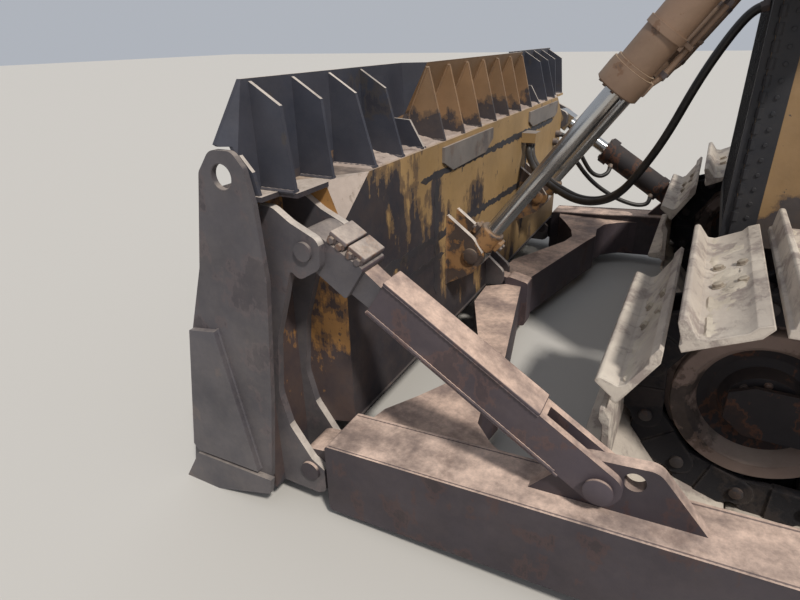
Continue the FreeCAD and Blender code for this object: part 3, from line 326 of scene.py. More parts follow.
def tube(
    path: Sequence[Sequence[float]], radius: Union[float, np.ndarray], sides: int = 12,
    side: Sequence[float] = (0, 1, 0),
) -> Shape:
    """A circle carried along a path, with lids. One of its axes is the side direction, made square to the path.

    Args:
        path: the points passed, three columns.
        radius: one radius, or one for each point.
        sides: faces around.
        side: a direction that the path never follows.

    Returns:
        The closed surface.
    """
    line = np.asarray(path, float)
    along = np.gradient(line, axis=0)
    along /= np.linalg.norm(along, axis=1, keepdims=True)
    out = np.asarray(side, float) - along * (along @ np.asarray(side, float))[:, None]
    out /= np.linalg.norm(out, axis=1, keepdims=True)
    up = np.cross(along, out)
    turn = (np.arange(sides) * 2 * math.pi / sides)[None, :, None]
    wide = np.broadcast_to(np.asarray(radius, float), (len(line),))[:, None, None]
    rings = line[:, None] + wide * (out[:, None] * np.cos(turn) + up[:, None] * np.sin(turn))
    return grid(rings, round_v=True, lids=True)


def lumps(x: np.ndarray, y: np.ndarray, size: float, seed: int, waves: int = 24) -> np.ndarray:
    """Uneven heights from -1 to 1: the mean of sine waves with random directions and lengths.

    Args:
        x: first coordinate, any shape.
        y: second coordinate, same shape.
        size: the usual length of a lump.
        seed: fixes the waves.
        waves: how many waves.

    Returns:
        The heights, in the shape of x.
    """
    draw = np.random.default_rng(seed)
    turn, phase = draw.uniform(0, 2 * math.pi, (2, waves))
    pace = 2 * math.pi / (size * draw.uniform(0.5, 2.2, waves))
    wave = np.sin((x[..., None] * np.cos(turn) + y[..., None] * np.sin(turn)) * pace + phase)
    return wave.sum(-1) / math.sqrt(waves * 2)


def hex_bolt(radius: float, height: float, axis: Axis, outward: float = 1.0) -> Shape:
    """A washer with a six-sided head on it, its seat at the origin.

    Args:
        radius: half the head's width over its corners.
        height: how far the head stands out.
        axis: the bolt's axis.
        outward: 1 or -1, the way that it stands out.

    Returns:
        The closed surfaces.
    """
    washer = [(-0.001, radius * 1.25), (height * 0.2, radius * 1.25), (height * 0.22, radius * 1.15)]
    head = [(0.0, radius * 0.98), (height * 0.9, radius * 0.98), (height, radius * 0.82)]
    rows = ((washer, 16), (head, 6))
    return joined([lathe([(a * outward, r) for a, r in profile], axis, sides=n) for profile, n in rows])


def weld(path: Sequence[Sequence[float]], radius: float = 0.007, side: Sequence[float] = (0, 1, 0)) -> Shape:
    """A bead along a seam: a tube whose radius swells by a tenth at every ripple.

    Args:
        path: the seam's corner points.
        radius: the bead's radius.
        side: a direction that the seam never follows.

    Returns:
        The closed surface.
    """
    ends = np.asarray(path, float)
    runs = np.linalg.norm(np.diff(ends, axis=0), axis=1)
    spots = np.concatenate([[0.0], np.cumsum(runs)])
    count = max(3, int(spots[-1] / (radius * 1.6)))
    places = np.linspace(0, spots[-1], count)
    line = np.stack([np.interp(places, spots, ends[:, k]) for k in range(3)], -1)
    return tube(line, radius * (1 + 0.12 * np.cos(np.arange(count) * math.pi)), 6, side)


def beads(line: Sequence[Sequence[float]], ys: Sequence[float], radius: float = 0.007) -> list[Shape]:
    """The same bead at several widths of the machine: the line's columns are x and z."""
    return [weld([(x, y, z) for x, z in line], radius) for y in ys]


def bolt_ring(bolt: Shape, axis: Axis, at: float, radius: float, count: int) -> Shape:
    """Bolts on a circle about an axis, at one place along it."""
    return copies(bolt, shifts(lifted(circle(0, 0, radius, count), axis, at)))


# Finishes


Value = Union[float, Sequence[float], bpy.types.NodeSocket]


def colour(code: str) -> tuple[float, float, float, float]:
    """A six-digit colour code as a linear colour with full alpha."""
    parts = [int(code[k : k + 2], 16) / 255 for k in (1, 3, 5)]
    return (*[p / 12.92 if p <= 0.04045 else ((p + 0.055) / 1.055) ** 2.4 for p in parts], 1.0)


class Wiring:
    """Adds shader nodes to a tree and joins them by their sockets' names."""

    def __init__(self, tree: bpy.types.NodeTree) -> None:
        """Keeps the tree."""
        self.tree = tree

    def add(self, kind: str, feeds: dict[Union[str, int], Value], **settings: Union[str, int, bool]) -> bpy.types.Node:
        """One node with its inputs set or joined.

        Args:
            kind: the node's type, after "ShaderNode".
            feeds: socket name or number to a value or another socket.
            settings: properties of the node.

        Returns:
            The node.
        """
        node = self.tree.nodes.new("ShaderNode" + kind)
        for name, value in settings.items():
            setattr(node, name, value)
        self.feed(node, feeds)
        return node

    def feed(self, node: bpy.types.Node, feeds: dict[Union[str, int], Value]) -> None:
        """Sets or joins a node's inputs, by socket name or number."""
        for name, value in feeds.items():
            if isinstance(value, bpy.types.NodeSocket):
                self.tree.links.new(value, node.inputs[name])
            else:
                node.inputs[name].default_value = value

    def maths(self, operation: str, first: Value, second: Value = 0.0) -> bpy.types.NodeSocket:
        """A Math node's result, held between 0 and 1."""
        return self.add("Math", {0: first, 1: second}, operation=operation, use_clamp=True).outputs[0]

    plus = partialmethod(maths, "ADD")
    minus = partialmethod(maths, "SUBTRACT")
    times = partialmethod(maths, "MULTIPLY")

    def ramp(self, value: Value, low: Value, high: Value) -> bpy.types.NodeSocket:
        """0 below low, 1 above high, with a smooth step between."""
        feeds = {"Value": value, "From Min": low, "From Max": high}
        return self.add("MapRange", feeds, interpolation_type="SMOOTHSTEP").outputs["Result"]

    def mix(self, share: Value, first: Value, second: Value) -> bpy.types.NodeSocket:
        """Two colours mixed by a share."""
        node = self.add("Mix", {0: share, 6: first, 7: second}, data_type="RGBA")
        return node.outputs[2]

    def noise(self, where: Value, scale: Value, detail: float = 6.0, rough: float = 0.6) -> bpy.types.NodeSocket:
        """A cloud pattern's value."""
        feeds = {"Vector": where, "Scale": scale, "Detail": detail, "Roughness": rough}
        return self.add("TexNoise", feeds).outputs["Fac"]

    def place(self) -> bpy.types.NodeSocket:
        """Where the shaded point lies in the object's own frame."""
        return self.add("TexCoord", {}).outputs["Object"]

    def facing(self) -> bpy.types.NodeSocket:
        """How far the surface looks up, from -1 to 1."""
        return self.add("SeparateXYZ", {0: self.add("NewGeometry", {}).outputs["Normal"]}).outputs["Z"]

    def effect(self, tree: bpy.types.NodeTree, **feeds: Value) -> bpy.types.bpy_prop_collection:
        """The outputs of a shared pattern, with its inputs set or joined."""
        return self.add("Group", feeds, node_tree=tree).outputs

    def shade(
        self, base: Value, rough: Value, height: Optional[Value] = None, strength: float = 0.0, depth: float = 0.0
    ) -> bpy.types.Node:
        """Joins a colour, a roughness and a relief to the material's shader.

        Args:
            base: the surface's colour.
            rough: its roughness.
            height: the relief, None for none.
            strength: the relief's share.
            depth: the relief's height in metres.

        Returns:
            The shader node.
        """
        shader, feeds = self.tree.nodes["Principled BSDF"], {"Base Color": base, "Roughness": rough}
        if height is not None:
            bump = self.add("Bump", {"Height": height, "Strength": strength, "Distance": depth})
            feeds["Normal"] = bump.outputs["Normal"]
        self.feed(shader, feeds)
        return shader


def group(
    name: str, inputs: dict[str, float], outputs: Sequence[str]
) -> tuple[bpy.types.NodeTree, Wiring, dict, dict]:
    """An empty shader node group with named number sockets.

    Args:
        name: the group's name.
        inputs: number input to its default.
        outputs: the outputs' names.

    Returns:
        The group, its wiring, its input sockets and its output sockets, by name.
    """
    tree = bpy.data.node_groups.new(name, "ShaderNodeTree")
    socket = partial(tree.interface.new_socket, socket_type="NodeSocketFloat")
    for label, value in inputs.items():
        socket(label, in_out="INPUT").default_value = value
    for label in outputs:
        socket(label, in_out="OUTPUT")
    source, sink = tree.nodes.new("NodeGroupInput"), tree.nodes.new("NodeGroupOutput")
    return tree, Wiring(tree), source.outputs, sink.inputs


class Effects:
    """The patterns that more than one finish shares, each built once as a node group."""

    def __init__(self) -> None:
        """Builds every group."""
        self.patches = self._patches()
        self.edges = self._edges()
        self.dust = self._dust()
        self.grain = self._grain()

    @staticmethod
    def _patches() -> bpy.types.NodeTree:
        """Where a coat has worn through: clouds, stretched upright for drips and cut at a level, and their rim."""
        feeds = {"Amount": 0.4, "Scale": 3.0, "Drip": 0.5}
        tree, w, given, out = group("worn_patches", feeds, ["Mask", "Rim"])
        place = w.place()
        wide = w.noise(place, given["Scale"], 9.0, 0.62)
        upright = w.add("Mapping", {"Vector": place, "Scale": (3.2, 3.2, 0.7)}).outputs[0]
        drips = w.noise(upright, given["Scale"], 8.0, 0.6)
        field = w.plus(w.times(drips, given["Drip"]), w.times(wide, w.minus(1.0, given["Drip"])))
        level = w.minus(0.72, w.times(given["Amount"], 0.44))
        mask = w.ramp(field, level, w.plus(level, 0.022))
        outer = w.ramp(field, w.minus(level, 0.03), level)
        w.tree.links.new(mask, out["Mask"])
        w.tree.links.new(w.minus(outer, mask), out["Rim"])
        return tree

    @staticmethod
    def _edges() -> bpy.types.NodeTree:
        """Rubbed edges: how far the normal smoothed over Width turns from the face's own, broken by a cloud."""
        tree, w, given, out = group("rubbed_edges", {"Width": 0.012, "Amount": 0.6}, ["Mask"])
        place = w.place()
        flat = w.add("NewGeometry", {}).outputs["Normal"]
        soft = w.add("Bevel", {"Radius": given["Width"]}, samples=4).outputs["Normal"]
        agree = w.add("VectorMath", {0: flat, 1: soft}, operation="DOT_PRODUCT").outputs["Value"]
        turn = w.ramp(w.minus(1.0, agree), 0.01, 0.10)
        broken = w.ramp(w.noise(place, 22.0, 5.0), 0.36, 0.62)
        w.tree.links.new(w.times(w.times(turn, broken), given["Amount"]), out["Mask"])
        return tree

    @staticmethod
    def _dust() -> bpy.types.NodeTree:
        """Dry dust, which with a large top weight also serves as painted sunlight on upward faces: more on faces that
        look up, more near the ground, in uneven clouds.
        """
        tree, w, given, out = group("dry_dust", {"Top": 0.8, "Side": 0.2, "Low": 0.5}, ["Mask"])
        place = w.place()
        height = w.add("SeparateXYZ", {0: place}).outputs["Z"]
        cloud = w.ramp(w.noise(place, 5.0, 9.0, 0.68), 0.30, 0.68)
        fine = w.ramp(w.noise(place, 38.0, 6.0, 0.7), 0.25, 0.75)
        lying = w.times(w.ramp(w.facing(), 0.35, 0.9), given["Top"])
        low = w.add("MapRange", {"Value": height, "From Min": 1.3, "From Max": 0.0}).outputs[0]
        base = w.plus(w.plus(lying, w.times(low, given["Low"])), given["Side"])
        clouded = w.times(base, w.plus(w.times(cloud, 0.75), 0.28))
        w.tree.links.new(w.times(clouded, w.plus(w.times(fine, 0.4), 0.72)), out["Mask"])
        return tree

    @staticmethod
    def _grain() -> bpy.types.NodeTree:
        """The surface's small relief: pits of a cast or scaled plate and long shallow dents."""
        tree, w, given, out = group("plate_grain", {"Scale": 90.0}, ["Height"])
        place = w.place()
        fine = w.noise(place, given["Scale"], 5.0, 0.6)
        broad = w.noise(place, 6.0, 3.0, 0.5)
        w.tree.links.new(w.plus(w.times(fine, 0.35), w.times(broad, 0.5)), out["Height"])
        return tree


EFFECTS = Effects()
MADE: dict[str, bpy.types.Material] = {}


def blank(name: str) -> tuple[bpy.types.Material, Wiring]:
    """A new material with only its shader, and its wiring."""
    material = bpy.data.materials.new(name)
    material.use_nodes = True
    return material, Wiring(material.node_tree)


@dataclass(frozen=True)
class Finish:
    """What a surface looks like. Each kind of finish wires its own material."""

    name: str

    def material(self) -> bpy.types.Material:
        """The finish as a material, built once."""
        if self.name not in MADE:
            MADE[self.name], w = blank(self.name)
            self.wire(w, w.place())
        return MADE[self.name]

    def wire(self, w: Wiring, place: bpy.types.NodeSocket) -> None:
        """Joins the material's nodes; place is the point in the object's own frame."""
        raise NotImplementedError


@dataclass(frozen=True)
class WornPaint(Finish):
    """A coat over steel with worn patches, rust at their rims, rubbed edges and dust, whose heavy pale share on upward
    faces is in some finishes also painted sunlight.
    """

    coat: str
    under: str
    rust: str = "#7a4a24"
    dust: str = "#a8957c"
    wear: float = 0.3
    drip: float = 0.3
    patch: float = 3.0
    edge: float = 0.6
    # Weight of dust on upward faces; where it is large and the dust colour pale, it is also painted sunlight.
    top_dust_and_light: float = 0.7
    side_dust: float = 0.12
    low_dust: float = 0.3
    rough: float = 0.62
    relief: float = 0.25
    drift: tuple[float, float, float] = ORIGIN
    chips: float = 0.0

    def wire(self, w: Wiring, place: bpy.types.NodeSocket) -> None:
        """Wires the coat, what is under it where it has gone, and the dust over both."""
        along = w.add("VectorMath", {0: place, 1: self.drift}, operation="DOT_PRODUCT").outputs["Value"]
        patches = w.effect(EFFECTS.patches, Amount=w.plus(along, self.wear), Scale=self.patch, Drip=self.drip)
        chips = w.effect(EFFECTS.patches, Amount=self.chips, Scale=self.patch * 5.5, Drip=self.drip)
        edges = w.effect(EFFECTS.edges, Amount=self.edge)
        # The dust mask, which on upward faces with a large top weight is also painted sunlight.
        dusty = w.effect(EFFECTS.dust, Top=self.top_dust_and_light, Side=self.side_dust, Low=self.low_dust)["Mask"]
        grain = w.effect(EFFECTS.grain)["Height"]
        tone = w.ramp(w.noise(place, 1.7, 7.0, 0.65), 0.3, 0.7)
        coat, under, rust = (colour(code) for code in (self.coat, self.under, self.rust))
        faded = tuple(min(1.0, c * 1.22 + 0.012) for c in coat[:3]) + (1.0,)
        shade = tuple(c * 0.78 for c in coat[:3]) + (1.0,)
        painted = w.mix(tone, shade, faded)
        bare = w.mix(w.ramp(w.noise(place, 9.0, 8.0, 0.7), 0.35, 0.68), under, rust)
        worn = w.maths("MAXIMUM", w.maths("MAXIMUM", patches["Mask"], chips["Mask"]), edges["Mask"])
        surface = w.mix(worn, painted, w.mix(0.3, under, bare))
        rimmed = w.mix(w.times(patches["Rim"], 0.75), surface, rust)
        rough, height = w.plus(w.times(dusty, 0.35), self.rough), w.minus(grain, w.times(worn, 0.12))
        w.shade(w.mix(dusty, rimmed, colour(self.dust)), rough, height, self.relief, 0.006)


@dataclass(frozen=True)
class Caked(Finish):
    """Steel under dry mud, scoured where it rubs."""

    mud: str
    steel: str
    damp: str
    cover: float
    scour: float = 0.7
    relief: float = 0.5

    def wire(self, w: Wiring, place: bpy.types.NodeSocket) -> None:
        """Wires the mud in clouds, the steel between them and the scoured edges."""
        scoured = w.effect(EFFECTS.edges, Amount=self.scour, Width=0.016)["Mask"]
        low = 0.66 - 0.4 * self.cover
        caked = w.ramp(w.noise(place, 6.5, 10.0, 0.68), low, low + 0.12)
        tone = w.ramp(w.noise(place, 2.2, 8.0, 0.7), 0.3, 0.72)
        mud, steel = w.mix(tone, colour(self.damp), colour(self.mud)), colour(self.steel)
        base = w.mix(scoured, w.mix(caked, steel, mud), w.mix(tone, steel, colour("#8b7f75")))
        height = w.plus(w.times(w.noise(place, 55.0, 8.0, 0.72), 0.4), w.times(caked, 0.35))
        w.shade(base, w.minus(0.93, w.times(scoured, 0.45)), height, self.relief, 0.012)


@dataclass(frozen=True)
class Polished(Finish):
    """Bright metal with a film of oil and dust."""

    metal: str = "#c3c3c2"
    film: str = "#7b6a55"
    rough: float = 0.2
    grime: float = 0.35

    def wire(self, w: Wiring, place: bpy.types.NodeSocket) -> None:
        """Wires the metal under its film."""
        film = w.times(w.ramp(w.noise(place, 7.0, 8.0, 0.7), 0.42, 0.8), self.grime)
        shader = w.shade(w.mix(film, colour(self.metal), colour(self.film)), w.plus(w.times(film, 0.6), self.rough))
        shader.inputs["Metallic"].default_value = 0.92


@dataclass(frozen=True)
class Plain(Finish):
    """Rubber, plastic or cloth: one colour with clouds of dust and a fine grain."""

    tint: str
    dust: str = "#8d8172"
    dusting: float = 0.3
    rough: float = 0.6
    grain: float = 120.0
    relief: float = 0.15
    coat: float = 0.0

    def wire(self, w: Wiring, place: bpy.types.NodeSocket) -> None:
        """Wires the colour, the dust that lies on it and the grain."""
        cloud = w.ramp(w.noise(place, 7.0, 9.0, 0.7), 0.3, 0.8)
        lying = w.plus(w.times(w.ramp(w.facing(), 0.1, 0.9), 0.6), 0.4)
        dusty = w.times(w.times(cloud, lying), self.dusting)
        base, rough = w.mix(dusty, colour(self.tint), colour(self.dust)), w.plus(w.times(dusty, 0.4), self.rough)
        shader = w.shade(base, rough, w.noise(place, self.grain, 4.0), self.relief, 0.002)
        shader.inputs["Coat Weight"].default_value = self.coat


@dataclass(frozen=True)
class Pane(Finish):
    """Clear glass under an uneven film of dust."""

    tint: str = "#dfe8e4"

    def wire(self, w: Wiring, place: bpy.types.NodeSocket) -> None:
        """Wires the glass and its film."""
        film = w.ramp(w.noise(place, 3.5, 8.0, 0.65), 0.35, 0.85)
        shader = w.shade(w.mix(film, colour(self.tint), colour("#c9bda8")), w.plus(w.times(film, 0.16), 0.04))
        shader.inputs["Transmission Weight"].default_value = 0.9
        shader.inputs["IOR"].default_value = 1.12


BLADE_OCHRE = WornPaint("blade_ochre", "#9c7d50", "#23242e", rust="#4c3a30", dust="#b9a697", wear=0.72,
                        drip=0.44, patch=2.8, edge=0.3, top_dust_and_light=1.0, side_dust=0.05, low_dust=0.05,
                        drift=(0.0, 0.34, -0.50), chips=0.26)
BAY_OCHRE = WornPaint("bay_ochre", "#a4753c", "#3a3034", rust="#5e4434", dust="#8f7d6c", wear=0.98, drip=0.4,
                      patch=6.0, edge=0.3, side_dust=0.08, low_dust=0.05, drift=(0.0, 0.0, -0.56), chips=0.3)
BACK_OCHRE = WornPaint("back_ochre", "#a4753c", "#34303a", rust="#3f3436", dust="#8f7d6c", wear=2.86, drip=0.4,
                       patch=7.0, edge=0.2, side_dust=0.05, low_dust=0.05, drift=(0.0, -1.45, -0.25), chips=0.2)
FACET_DUST = WornPaint("facet_dust", "#a39389", "#85766c", rust="#8a7a6c", dust="#cbbdb1", wear=0.4, patch=12.0,
                       edge=0.3, top_dust_and_light=0.9, side_dust=0.5, low_dust=0.0, rough=0.9, relief=0.9)
PATCH_GREY = WornPaint("patch_grey", "#67625f", "#3b3a40", rust="#5a4a40", dust="#a3968c", wear=0.3,
                       side_dust=0.3, edge=0.5)
SIDE_OCHRE = WornPaint("side_ochre", "#8f7048", "#2c2c34", rust="#5f4834", dust="#a08c78", wear=2.62, drip=0.15,
                       patch=5.0, edge=0.4, side_dust=0.15, low_dust=0.05, drift=(0.0, 0.0, -1.95), chips=0.2)
BODY_OCHRE = WornPaint("body_ochre", "#a98445", "#40342c", rust="#6d4a30", dust="#b5a48e", wear=1.0, drip=0.35,
                       patch=4.0, edge=0.5, top_dust_and_light=0.85, side_dust=0.2, drift=(0.0, 0.0, -0.5), chips=0.22)
BARREL_OCHRE = WornPaint("barrel_ochre", "#806653", "#56453a", rust="#6d4a32", wear=0.24, drip=0.1, patch=9.0,
                         edge=0.4, rough=0.5, low_dust=0.1)
EAR_OCHRE = WornPaint("ear_ochre", "#8c6438", "#302b2e", rust="#5f4028", dust="#8f7d6c", wear=0.55, drip=0.2,
                      patch=9.0, edge=0.6, side_dust=0.15, low_dust=0.1)
# Painted shade: the dark navy coat stands in for the shade on the wing guard's rear faces, the wing ribs and their
# welds.
GUARD_SHADED = WornPaint("guard_dark", "#2c303d", "#292933", rust="#3d3836", dust="#93867f", wear=0.25, edge=0.25,
                       top_dust_and_light=0.9, side_dust=0.08, low_dust=0.0)
# The dark patches that grow towards the bottom are painted shadow at the foot of the centre panel and ribs; the small
# chips are wear.
RIB_OCHRE_SHADED_FOOT = WornPaint("rib_ochre", "#8a6a4a", "#2b2c37", rust="#54443a", dust="#9b8978", wear=4.55, drip=0.3,
                      patch=5.0, edge=0.35, side_dust=0.12, low_dust=0.0, drift=(0.0, 0.0, -3.0), chips=0.1)
# Dark coat that is partly painted shade: on the blade's end plates and on the brace's head it stands in for the shade
# they lie in.
END_BROWN_SHADED = WornPaint("end_brown", "#403d43", "#38343a", rust="#51474a", dust="#a2968d", wear=0.35, edge=0.45,
                      patch=4.0, top_dust_and_light=0.95, side_dust=0.12, low_dust=0.1, rough=0.6)
# The strong, pale top dust is dust and also painted sunlight on the upper faces of the brace, joint and diagonals.
ARM_BROWN_SUNLIT = WornPaint("arm_brown", "#3c333b", "#332a31", rust="#523c3a", dust="#dfc1ae", wear=0.35, edge=0.4,
                      patch=4.5, top_dust_and_light=1.15, side_dust=0.045, low_dust=0.0, rough=0.6)
# Painted shade and painted sunlight: the coat is darkened to stand in for the shade on the push arms' sides, and the
# heavy, pale top dust is dust and sunlight on their tops.
PUSH_BROWN_SHADE_AND_SUN = WornPaint("push_brown", "#2d262e", "#272127", rust="#432f2e", dust="#eacdbb", wear=0.35, edge=0.4,
                       patch=4.5, top_dust_and_light=1.35, side_dust=0.03, low_dust=0.0, rough=0.6)
CLAMP_GREY = WornPaint("clamp_grey", "#5a5052", "#3a3338", dust="#c4b5a8", wear=0.45, patch=14.0, side_dust=0.1,
                       top_dust_and_light=1.1, low_dust=0.0)
BARE_STEEL = WornPaint("bare_steel", "#4e474a", "#3a3436", rust="#6a4a36", dust="#a89684", wear=0.4, edge=0.7,
                       side_dust=0.1, low_dust=0.1, rough=0.45)
EDGE_STEEL = WornPaint("edge_steel", "#3b3941", "#4a4952", rust="#544a48", dust="#a2968d", wear=0.35, edge=0.8,
                       side_dust=0.1, low_dust=0.12, rough=0.42)
DECK_DARK = WornPaint("deck_dark", "#2e2d2d", "#46392f", wear=0.2, top_dust_and_light=0.8, side_dust=0.15)
CAST_BROWN = WornPaint("cast_brown", "#352e31", "#2a2428", rust="#6e4630", dust="#8f7d6c", wear=0.35, patch=5.0,
                       top_dust_and_light=0.6, side_dust=0.14, low_dust=0.1, rough=0.7)
HUB_RUST = WornPaint("hub_rust", "#8a4a26", "#33242a", rust="#a05a2a", dust="#8f7460", wear=0.45, patch=9.0,
                     side_dust=0.1)
SHOE_MUD = Caked("shoe_mud", mud="#d9cebf", steel="#9d9088", damp="#b5a99e", cover=0.66)
LINK_MUD = Caked("link_mud", mud="#3f3733", steel="#1c1b20", damp="#2a2527", cover=0.35, scour=0.3)
PIN_DARK = WornPaint("pin_dark", "#2b282c", "#232125", rust="#4d3a30", dust="#6d6058", wear=0.3, patch=9.0,
                     side_dust=0.08, low_dust=0.05, top_dust_and_light=0.4)
SHOE_BOLT = WornPaint("shoe_bolt", "#77695e", "#4d443f", rust="#6d5340", dust="#cbbfab", wear=0.35, patch=12.0,
                      side_dust=0.35)
RIM_DUST = WornPaint("rim_dust", "#85726a", "#211d20", rust="#4a3830", dust="#a39387", wear=0.42, patch=4.5,
                     drip=0.1, edge=0.4, side_dust=0.2, low_dust=0.0, rough=0.8)
# Dark cast coat; on the tilt cylinder's barrel and gland it is painted shade.
WEB_DARK = WornPaint("web_dark", "#221e22", "#1b191d", rust="#5e3822", dust="#5a4c44", wear=0.4, patch=5.0,
                     side_dust=0.05, top_dust_and_light=0.5, low_dust=0.05, rough=0.75)
LEDGE_SOIL = Caked("ledge_soil", mud="#c0afa3", steel="#7d6a62", damp="#94837a", cover=0.85, scour=0.0,
                   relief=0.8)
DRY_MUD = Caked("dry_mud", mud="#dcd1c0", steel="#b0a394", damp="#bbaf9f", cover=0.9, scour=0.0, relief=1.0)
# Dark bands on the wall: partly worn paint, partly painted shade under the plate step.
WALL_DARK_BANDS = WornPaint("wall_worn", "#25262f", "#1e1f27", rust="#3d342f", wear=0.3, patch=6.0, edge=0.1,
                      top_dust_and_light=0.1, side_dust=0.05, low_dust=0.05)
# Dust and painted highlight: the pale coat with heavy top dust stands in for the lit top edges of the guard, ribs and
# brackets.
TOP_EDGE_HIGHLIGHT = WornPaint("edge_pale", "#8f867f", "#6d655f", rust="#7d7068", dust="#d6cabf", wear=0.3, patch=9.0,
                      edge=0.2, top_dust_and_light=1.3, side_dust=0.35, low_dust=0.0)
CHROME = Polished("rod_chrome")
HOSE_RUBBER = Plain("hose_rubber", "#17171a", dusting=0.3, rough=0.45)
SEAL_RUBBER = Plain("seal_rubber", "#181818", dusting=0.25, rough=0.7)
SEAT_CLOTH = Plain("seat_cloth", "#26262a", dusting=0.3, rough=0.9, grain=400.0, relief=0.4)
PANEL_PLASTIC = Plain("panel_plastic", "#2c2c2e", dusting=0.35, rough=0.55)
GRILLE_BLACK = Plain("grille_black", "#1f2026", dust="#5d564f", dusting=0.5, rough=0.6)
CORE_METAL = Plain("core_metal", "#4a4744", dusting=0.6, rough=0.6)
LAMP_BLACK = Plain("lamp_black", "#1f1f20", dusting=0.2, rough=0.4)
LAMP_LENS = Plain("lamp_lens", "#c9cfd0", dusting=0.2, rough=0.12, relief=0.0, coat=0.6)
RED_LENS = Plain("red_lens", "#8c1a14", dusting=0.2, rough=0.2, relief=0.0, coat=0.6)
GLASS = Pane("dusty_glass")

NODE_FINISHES: dict[Finish, str] = {
    BLADE_OCHRE: "blade_back",
    EDGE_STEEL: "moldboard cutting_edge",
    END_BROWN_SHADED: "blade_ends blade_brackets",
    GUARD_SHADED: "blade_guard guard_ribs",
    ARM_BROWN_SUNLIT: "brace centre_joint",
    # On the tilt cylinder this dark coat is painted shade.
    WEB_DARK: "tilt_barrel",
    CHROME: "tilt_rod",
    SIDE_OCHRE: "lift_yokes radiator_guard",
    GRILLE_BLACK: "grille",
    CORE_METAL: "radiator_core",
    BODY_OCHRE: "hood engine_panels cab_shell cab_roof fuel_tank battery_box hydraulic_tank",
    DECK_DARK: "engine_block exhaust_stack air_precleaner platform",
    GLASS: "cab_glass",
    SEAT_CLOTH: "seat",
    PANEL_PLASTIC: "console",
    CAST_BROWN: "drawbar main_frame",
    LAMP_BLACK: "lamps",
    HOSE_RUBBER: "blade_hoses tilt_hoses",
}
PAIR_FINISHES: dict[str, Finish] = {
    "track": SHOE_MUD, "idler": CAST_BROWN, "sprocket": BARE_STEEL, "final_drive": CAST_BROWN, "rollers": CAST_BROWN,
    "track_frame": WEB_DARK, "door": BODY_OCHRE, "door_glass": GLASS, "lift_barrel": BARREL_OCHRE,
    "lift_rod": CHROME, "push_arm": PUSH_BROWN_SHADE_AND_SUN, "diagonal": ARM_BROWN_SUNLIT,
}


def placed(name: str, data: bpy.types.ID) -> bpy.types.Object:
    """A new object in the scene that shows the data."""
    obj = bpy.data.objects.new(name, data)
    bpy.context.scene.collection.objects.link(obj)
    return obj


def piece(
    name: str, shape: Shape, finish: Finish, slot: str = "ochre_paint", bevel: float = 0.0, smooth: float = 35.0,
    *, body: str,
) -> bpy.types.Object:
    """Makes one object of the scene from a surface.

    Args:
        name: the object's name.
        shape: its surface, in the row frame.
        finish: its finish.
        slot: a material slot's name; not used.
        bevel: width of the rounding on its sharp edges, 0 for none.
        smooth: faces that meet at less than this angle, in degrees, are shaded as one.
        body: the body that it rides on.

    Returns:
        The object.
    """
    mesh = bpy.data.meshes.new(name)
    mesh.vertices.add(len(shape.points))
    mesh.vertices.foreach_set("co", shape.points.astype(np.float32).ravel())
    mesh.loops.add(len(shape.corners))
    mesh.loops.foreach_set("vertex_index", shape.corners.astype(np.int32))
    mesh.polygons.add(len(shape.counts))
    starts = np.concatenate([[0], np.cumsum(shape.counts)[:-1]])
    mesh.polygons.foreach_set("loop_start", starts.astype(np.int32))
    mesh.update(calc_edges=True)
    surface = bmesh.new()
    surface.from_mesh(mesh)
    bmesh.ops.recalc_face_normals(surface, faces=surface.faces)
    surface.to_mesh(mesh)
    surface.free()
    mesh.polygons.foreach_set("use_smooth", np.ones(len(mesh.polygons), bool))
    mesh.set_sharp_from_angle(angle=math.radians(smooth))
    obj = placed(name, mesh)
    mesh.materials.append(finish.material())
    if bevel:
        rounding = obj.modifiers.new("rounding", "BEVEL")
        rounding.width, rounding.segments, rounding.limit_method = bevel, 2, "ANGLE"
    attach(obj, body)
    log.info("%s: %d faces", name, len(mesh.polygons))
    return obj


on_machine = partial(piece, body="chassis")
on_blade = partial(piece, body="push_frame")


def repaint(obj: bpy.types.Object, finish: Finish, test: Callable[[np.ndarray, np.ndarray], np.ndarray]) -> None:
    """Gives some of an object's faces another finish.

    Args:
        obj: the object.
        finish: the finish.
        test: takes the faces' centres and normals, and says of each face whether it is meant.
    """
    mesh = obj.data
    mesh.materials.append(finish.material())
    centre, normal = (np.empty(len(mesh.polygons) * 3, np.float32) for _ in range(2))
    mesh.polygons.foreach_get("center", centre)
    mesh.polygons.foreach_get("normal", normal)
    index = np.empty(len(mesh.polygons), np.int32)
    mesh.polygons.foreach_get("material_index", index)
    index[test(centre.reshape(-1, 3), normal.reshape(-1, 3))] = len(mesh.materials) - 1
    mesh.polygons.foreach_set("material_index", index)


# The photograph's view


